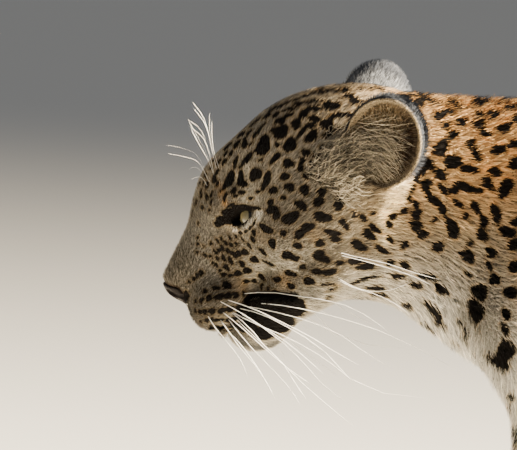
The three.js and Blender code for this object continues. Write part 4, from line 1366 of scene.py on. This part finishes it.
# Tufts under the fluff before the ears are darkened at random: painted shade in the gaps between the long
# hairs.
rootTone = rootTone * (1 + column(fluffed * rng.uniform(-0.8, 0.2, count)))
rootTone = rootTone * column(np.exp(rng.normal(-0.02, tuft["mottle"], count)))
base = rootAt - rootNormal * tuft["sink"]
mid = rootAt + turned * column(length * 0.5) + rootNormal * column(height * tuft["lift"] + 0.1)
tip = rootAt + turned * column(length) + rootNormal * column(height) + across * column(bend)
foot, waist = across * column(wide / 2), across * column(wide * 0.42)
tuftPoints = np.stack([
    base - foot, base + rootNormal * column(0.3 * wide + 0.1), base + foot,
    mid - waist, mid + rootNormal * column(0.22 * wide), mid + waist, tip], 1)
rootTree = KDTree(count)
for index, point in enumerate(rootAt):
    rootTree.insert(point, index)
rootTree.balance()
shown = mix(rootAt[:, None, :], tuftPoints, tuft["carry"])
tuftSpot = spotDepth(rootAt, shown, rootTree)
inEar = np.zeros(count, bool)
for s, _ in sides:
    inEar |= onEar(local(rootAt, earFrame(s)))
tuftSpot[inEar] = 9.0
onTail = rootAt[:, 0] > 1060
tuftSpot[onTail] = np.minimum(tuftSpot[onTail], tailRings(shown[onTail]))
stage("markings carried to the tufts")
alongValues = np.tile([0, 0, 0, 0.55, 0.6, 0.55, 1.0], (count, 1))
patchUv = np.array([(-0.5, -0.5), (0, -0.5), (0.5, -0.5), (-0.4, 0.1), (0, 0.1), (0.4, 0.1), (0, 0.5)])
patchUv = patchUv * tuft["patch"]
tuftQuads = np.array([(0, 1, 4, 3), (1, 2, 5, 4)])
tuftTips = np.array([(3, 4, 6), (4, 5, 6)])
coatPieces = []
for index, name in enumerate(chartNames):
    rows = np.nonzero(chart == index)[0]
    rows = rows[np.argsort(rootAt[rows, 0 if name in ("head", "trunk", "tail") else 2])]
    parts = max(1, math.ceil(len(rows) / tuft["perPiece"]))
    for part, chunk in enumerate(np.array_split(rows, parts)):
        if not len(chunk):
            continue
        n = len(chunk)
        start = np.arange(n)[:, None, None] * 7
        faces = [(start + tuftQuads).reshape(-1, 4), (start + tuftTips).reshape(-1, 3)]
        uv = np.concatenate([(rootUv[chunk][:, None, None] + patchUv[tuftQuads]).reshape(-1, 2),
                             (rootUv[chunk][:, None, None] + patchUv[tuftTips]).reshape(-1, 2)])
        values = {"tone": np.repeat(opaque(rootTone[chunk]), 7, axis=0), "spot": tuftSpot[chunk].ravel(),
                  "root": np.repeat(toRow(rootAt[chunk]), 7, axis=0), "along": alongValues[chunk].ravel()}
        points = tuftPoints[chunk].reshape(-1, 3)
        piece = makeMesh(f"coat_{name}_{part + 1}", points, faces, values, uv, coatMaterial)
        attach(piece, "root")
        coatPieces.append(piece)
stage(f"{len(coatPieces)} coat pieces")

# Nose pad: bare, damp skin, with the nostrils cut in.
noseLow = nose["center"] - nose["reach"]
noseSide = int(2 * nose["reach"] / nose["step"])


def noseField(p):
    pad = smoothMax(headFlesh(p) + 0.2, noseEgg(p), 2.0)
    return np.maximum(np.maximum(pad, -nostrils(p)), -pathDepth(p, splitPath, (1.0, 1.3, 1.6)))


leather = {"grain": 750.0, "mottle": 160.0, "dark": (0.004, 0.0028, 0.0024, 1),
           "light": (0.014, 0.0085, 0.0068, 1), "roughness": 0.6, "specular": 0.2, "bump": 0.5,
           "relief": 0.0006}


def noseLeather():
    g = Graph("noseLeather")
    place = g.add("ShaderNodeTexCoord", output=3)
    grain = g.add("ShaderNodeTexVoronoi", None, {"Vector": place, "Scale": leather["grain"]})
    color = g.blend(g.noise(place, leather["mottle"]), leather["dark"], leather["light"])
    return g.surface(color=color, roughness=leather["roughness"], specular=leather["specular"],
                     normal=g.bump(grain, leather["bump"], leather["relief"]))


noseValues = gridField(noseField, noseLow, [noseSide] * 3, nose["step"], 2)
noseSpots, noseQuads = surfaceNet(noseValues, noseLow, nose["step"], lambda c: np.full(len(c), True))
noseSpots = settle(noseField, noseSpots, nose["step"], 1)
noseMaterial = noseLeather()
nosePad = makeMesh("nosePad", noseSpots, [noseQuads], None, None, noseMaterial)
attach(nosePad, "root")
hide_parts("nose")

# Eyes: a ball with a low bulge in front, and a wide iris round a small pupil.
eyeLook = {"rings": 64, "around": 64, "gaze": (-0.99, 0.15, 0.03), "bulge": 1.1, "zones": (3.0, 8.0),
           "irisEdge": (9.6, 11.2), "pupilEdge": (1.4, 1.9), "inner": (0.225, 0.19, 0.092, 1),
           "outer": (0.175, 0.155, 0.083, 1), "rim": (0.010, 0.008, 0.007, 1),
           "pupil": (0.002, 0.002, 0.002, 1)}


def eyeMesh(s, side, material):
    center = eyeFrame(s)[0]
    out = unit(vec(*eyeLook["gaze"]) * [1, s, 1])
    across = unit(np.cross([0, 0, 1], out))
    axes = np.stack([across, np.cross(out, across), out])
    rings, around = eyeLook["rings"], eyeLook["around"]
    theta = np.linspace(0, math.pi, rings + 1)[1:-1]
    phi = np.linspace(0, 2 * math.pi, around, endpoint=False)
    t, f = np.meshgrid(theta, phi, indexing="ij")
    reach = eye["radius"] + eyeLook["bulge"] * np.exp(-(t / 0.5) ** 4)
    q = np.stack([np.sin(t) * np.cos(f), np.sin(t) * np.sin(f), np.cos(t)], -1) * reach[..., None]
    poles = [[0, 0, eye["radius"] + eyeLook["bulge"]], [0, 0, -eye["radius"]]]
    q = np.concatenate([q.reshape(-1, 3), poles])
    index = np.arange((rings - 1) * around).reshape(rings - 1, around)
    beside = np.roll(index, -1, 1)
    faces = np.stack([index[:-1], index[1:], beside[1:], beside[:-1]], -1).reshape(-1, 4)
    front, rear = len(q) - 2, len(q) - 1
    caps = np.concatenate([np.stack([np.full(around, front), index[0], beside[0]], 1),
                           np.stack([np.full(around, rear), beside[-1], index[-1]], 1)])
    if np.linalg.det(axes) < 0:
        faces, caps = faces[:, ::-1], caps[:, ::-1]
    gaze = {"offset": np.hypot(q[:, 0], q[:, 1]) + 100 * (q[:, 2] < 0), "plane": q}
    return makeMesh("eyeball_" + side, center + q @ axes, [faces, caps], gaze, None, material)


def eyeSurface():
    g = Graph("eye")
    r = g.attribute("offset", 2)
    flecks = g.noise(g.attribute("plane", 1), 0.9, 3.0)
    iris = g.blend(g.step(r, *eyeLook["zones"]), eyeLook["inner"], eyeLook["outer"])
    iris = g.scaled(iris, 0.62 + flecks * 0.75)
    iris = g.blend(g.step(r, *eyeLook["irisEdge"]), iris, eyeLook["rim"])
    iris = g.blend(g.step(r, *eyeLook["pupilEdge"]), eyeLook["pupil"], iris)
    return g.surface(color=iris, roughness=0.25, coat=1.0, coatRoughness=0.02, specular=0.5)


eyeMaterial = eyeSurface()
for s, side in sides:
    ball = eyeMesh(s, side, eyeMaterial)
    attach(ball, "root")
    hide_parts("eye_" + side)
stage("nose and eyes")


# Whiskers and long hairs: thin tapering tubes of three sides along curves.
def hairs(name, curves, radii, material, sections=9, shades=None):
    points, faces = [], []
    for number, (curve, radius) in enumerate(zip(curves, radii)):
        t = np.linspace(0, 1, sections)
        q = curveAt(np.array(curve), t)
        way = unit(np.gradient(q, axis=0))
        one = unit(np.cross(way, [0.31, 0.2, 0.93]))
        two = np.cross(way, one)
        r = column(radius * (1 - 0.55 * t) * (t < 0.999) + 0.02)
        start = number * 3 * sections
        for turn in (0, 2.094, 4.189):
            points.append(q + r * (one * math.cos(turn) + two * math.sin(turn)))
        for k in range(3):
            a, b = start + k * sections, start + (k + 1) % 3 * sections
            for m in range(sections - 1):
                faces.append((a + m, a + m + 1, b + m + 1, b + m))
    data = None if shades is None else {"shade": np.repeat(np.array(shades), 3 * sections)}
    thing = makeMesh(name, np.concatenate(points), [np.array(faces)], data, None, material)
    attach(thing, "root")
    return thing


whiskerMaterial = Graph("whisker").surface(color=(0.97, 0.95, 0.90, 1), roughness=0.35, specular=0.5)
# Each whisker: points along it in the picture, from root to tip, and how far its tip stands out.
whiskers = (
    (((243, 294), (268, 292), (300, 296), (340, 303), (370, 318), (389, 333)), 40),
    (((247, 302), (275, 304), (305, 309), (345, 319), (389, 334), (453, 367)), 52),
    (((245, 305), (268, 310), (303, 319), (338, 333), (365, 352), (389, 366)), 45),
    (((240, 308), (262, 314), (290, 328), (320, 347), (360, 385), (424, 396)), 52),
    (((238, 311), (258, 324), (285, 344), (305, 364), (325, 386), (345, 400)), 40),
    (((232, 312), (252, 322), (285, 336), (315, 352), (335, 366), (352, 380)), 36),
    (((236, 318), (252, 334), (272, 352), (300, 380), (330, 406), (352, 424)), 44),
    (((228, 319), (240, 334), (254, 350), (272, 368), (290, 388), (300, 404)), 34),
    (((220, 320), (229, 332), (239, 342), (250, 356), (262, 374), (272, 392)), 30),
    (((224, 326), (233, 338), (244, 352), (256, 366), (268, 384), (276, 400)), 28),
    (((230, 311), (250, 328), (264, 345), (282, 362), (296, 384), (306, 398)), 36),
    (((222, 312), (240, 326), (258, 342), (276, 358), (294, 372), (312, 384)), 32),
    (((205, 313), (214, 326), (224, 338), (234, 350), (242, 362), (248, 378)), 20),
    (((226, 299), (252, 308), (282, 322), (310, 336), (336, 352), (358, 364)), 36),
    (((218, 300), (240, 312), (262, 326), (284, 340), (304, 356), (322, 372)), 32),
    (((336, 252), (357, 257), (385, 263), (412, 272), (437, 279)), 26),
    (((338, 255), (360, 260), (388, 268), (412, 276), (430, 285)), 24),
    (((337, 278), (352, 286), (370, 291), (392, 289), (411, 281)), 22),
    (((337, 280), (352, 287), (372, 293), (392, 302), (409, 314)), 22))
curves, radii = [], []


def addWhisker(path, out, radius):
    root = onSkin(*path[0])
    if root is None:
        return
    steps = np.linspace(0, 1, len(path))
    curve = []
    for (x, y), t in zip(path, steps):
        across = right * (x - path[0][0]) * pixel - above * (y - path[0][1]) * pixel
        place = root + across + back * out * (1 - (1 - t) ** 2)
        under = onSkin(x, y)
        lift = max(0.0, (under - place) @ back + 4) if t > 0 and under is not None else 0
        curve.append(place + back * lift)
    curve[0] = root - normalAt(root) * 1.5
    for s in (1, -1):
        curves.append([q * [1, s, 1] for q in curve])
        radii.append(radius)


browHairs = (
    ((216, 172), (212, 150), (206, 126), (194, 109)), ((213, 176), (210, 156), (203, 138), (190, 127)),
    ((214, 178), (208, 160), (200, 146), (191, 129)), ((209, 184), (198, 162), (184, 157), (169, 154)),
    ((219, 171), (214, 152), (212, 136), (212, 122)), ((207, 188), (202, 178), (197, 177), (191, 180)))
whisker = {"radius": (0.34, 0.44), "cheekRadius": 0.24, "cheekFrom": 330, "browRadius": 0.17, "browOut": 12}
for path, out in whiskers:
    onCheek = path[0][0] > whisker["cheekFrom"]
    addWhisker(path, out, whisker["cheekRadius"] if onCheek else rng.uniform(*whisker["radius"]))
for path in browHairs:
    addWhisker(path, whisker["browOut"], whisker["browRadius"])
hairs("whiskers", curves, radii, whiskerMaterial)

# Long pale hairs that cross the cup of each ear from its front edge, and fluff before it.
earHair = {"strands": 240, "fluff": 950}
earCurves, earRadii, earShades = [], [], []
for s, _ in sides:
    center, axes = earFrame(s)
    forward = ear["forward"][s]
    for _ in range(earHair["strands"]):
        start = np.array([forward * rng.uniform(2, 27), rng.uniform(-30, 4), 0.0])
        sunk = 1 - (start[0] / ear["inner"][0]) ** 2 - (start[1] / ear["inner"][1]) ** 2
        start[2] = ear["offset"] - ear["inner"][2] * math.sqrt(max(sunk, 0.02)) - 0.5
        angle = rng.uniform(-0.55, 0.95)
        reach = rng.uniform(20, 40)
        aim = np.array([-forward * reach * math.cos(angle), reach * math.sin(angle), 0.0])
        end = start + aim
        over = math.hypot(end[0] / ear["inner"][0], end[1] / ear["inner"][1])
        end = np.append(end[:2] * min(1, 0.94 / over), rng.uniform(0, 6))
        q = [start, mix(start, end, 0.3) + [0, 2.5, 4.5], mix(start, end, 0.7) + [0, 3.0, 4.0], end]
        earCurves.append([center + r @ axes for r in q])
        earRadii.append(rng.uniform(0.18, 0.3))
        earShades.append(rng.choice([0.25, 0.6, 1.0, 1.15]))
    for _ in range(earHair["fluff"]):
        start = np.array([forward * rng.uniform(6, 44), rng.uniform(-48, -14), 0.0])
        start[1] -= 0.35 * max(0, 24 - abs(start[0]))
        top = center + start @ axes
        ray = top + axes[2] * 60 - axes[2] * np.arange(0, 100, 0.8)[:, None]
        hit = np.nonzero(skinField(ray) < 0)[0]
        if not len(hit):
            continue
        root = ray[hit[0]] - axes[2] * 0.5
        angle = rng.normal(0.75, 0.35)
        reach = rng.uniform(12, 24)
        aim = np.array([-forward * math.cos(angle), math.sin(angle), 0]) * reach
        rise = rng.uniform(3, 9)
        curl = rng.normal(0, 2.5)
        end = aim + [0, 0, rise * 0.7]
        q = [[0, 0, 0], aim * 0.35 + [curl, 0, rise * 0.8], aim * 0.7 + [0, curl, rise], end]
        earCurves.append([root + np.array(r) @ axes for r in q])
        earRadii.append(rng.uniform(0.2, 0.36))
        earShades.append(rng.choice([0.08, 0.25, 0.5, 0.9, 1.15]))
hairGraph = Graph("earHair")
hairColor = hairGraph.scaled((0.50, 0.435, 0.325), hairGraph.attribute("shade", 2))
hairMaterial = hairGraph.surface(color=hairColor, roughness=0.6, specular=0.15)
hairs("earHairs", earCurves, earRadii, hairMaterial, 6, earShades)
stage("whiskers and ear hairs")

# Floor, light and camera.
studio = {"floor": (0.60, 0.59, 0.57, 1), "floorHalf": 400.0, "sky": (0.86, 0.88, 0.90, 1),
          "skyStrength": 0.32}
floorMaterial = Graph("floor").surface(color=studio["floor"], roughness=0.9, specular=0.2)
floorCorners = np.array([(-1, -1, 0), (1, -1, 0), (1, 1, 0), (-1, 1, 0)]) * studio["floorHalf"]
floor = makeMesh("floor", floorCorners, [np.array([(0, 1, 2, 3)])], None, None, floorMaterial, inRow=True)
world = bpy.data.worlds.new("studio")
bpy.context.scene.world = world
world.use_nodes = True
sky = world.node_tree.nodes["Background"]
sky.inputs["Color"].default_value = studio["sky"]
sky.inputs["Strength"].default_value = studio["skyStrength"]
# Each lamp: place, size, power, colour, spread in degrees and the point it faces.
lamps = {"key": ((7.6, -1.7, 4.0), 2.4, 600, (1.0, 0.85, 0.62), 26, (-0.35, 0, 0.45)),
         "fill": ((-1.6, -3.2, 1.7), 2.2, 6, (1.0, 0.98, 0.95), 180, (-0.35, 0, 0.4)),
         "top": ((-0.6, -0.2, 3.6), 2.2, 8, (1.0, 0.97, 0.93), 180, (-0.3, 0, 0.4))}
for name, (place, size, power, color, spread, target) in lamps.items():
    lamp = bpy.data.lights.new(name, "AREA")
    lamp.size, lamp.energy, lamp.color, lamp.spread = size, power, color, math.radians(spread)
    thing = bpy.data.objects.new(name, lamp)
    thing.location = place
    aim = Vector(target) - Vector(place)
    thing.rotation_euler = aim.to_track_quat("-Z", "Y").to_euler()
    bpy.context.scene.collection.objects.link(thing)
optics = bpy.data.cameras.new("camera")
optics.sensor_width = camera["sensor"]
optics.lens = camera["sensor"] * camera["distance"] / camera["frameWidth"]
optics.clip_start, optics.clip_end = 0.1, 1000
viewer = bpy.data.objects.new("camera", optics)
viewer.location = toRow(cameraPlace)
viewer.rotation_euler = Vector(-back).to_track_quat("-Z", "Y").to_euler()
bpy.context.scene.collection.objects.link(viewer)
bpy.context.scene.camera = viewer
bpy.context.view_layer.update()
stage("done")
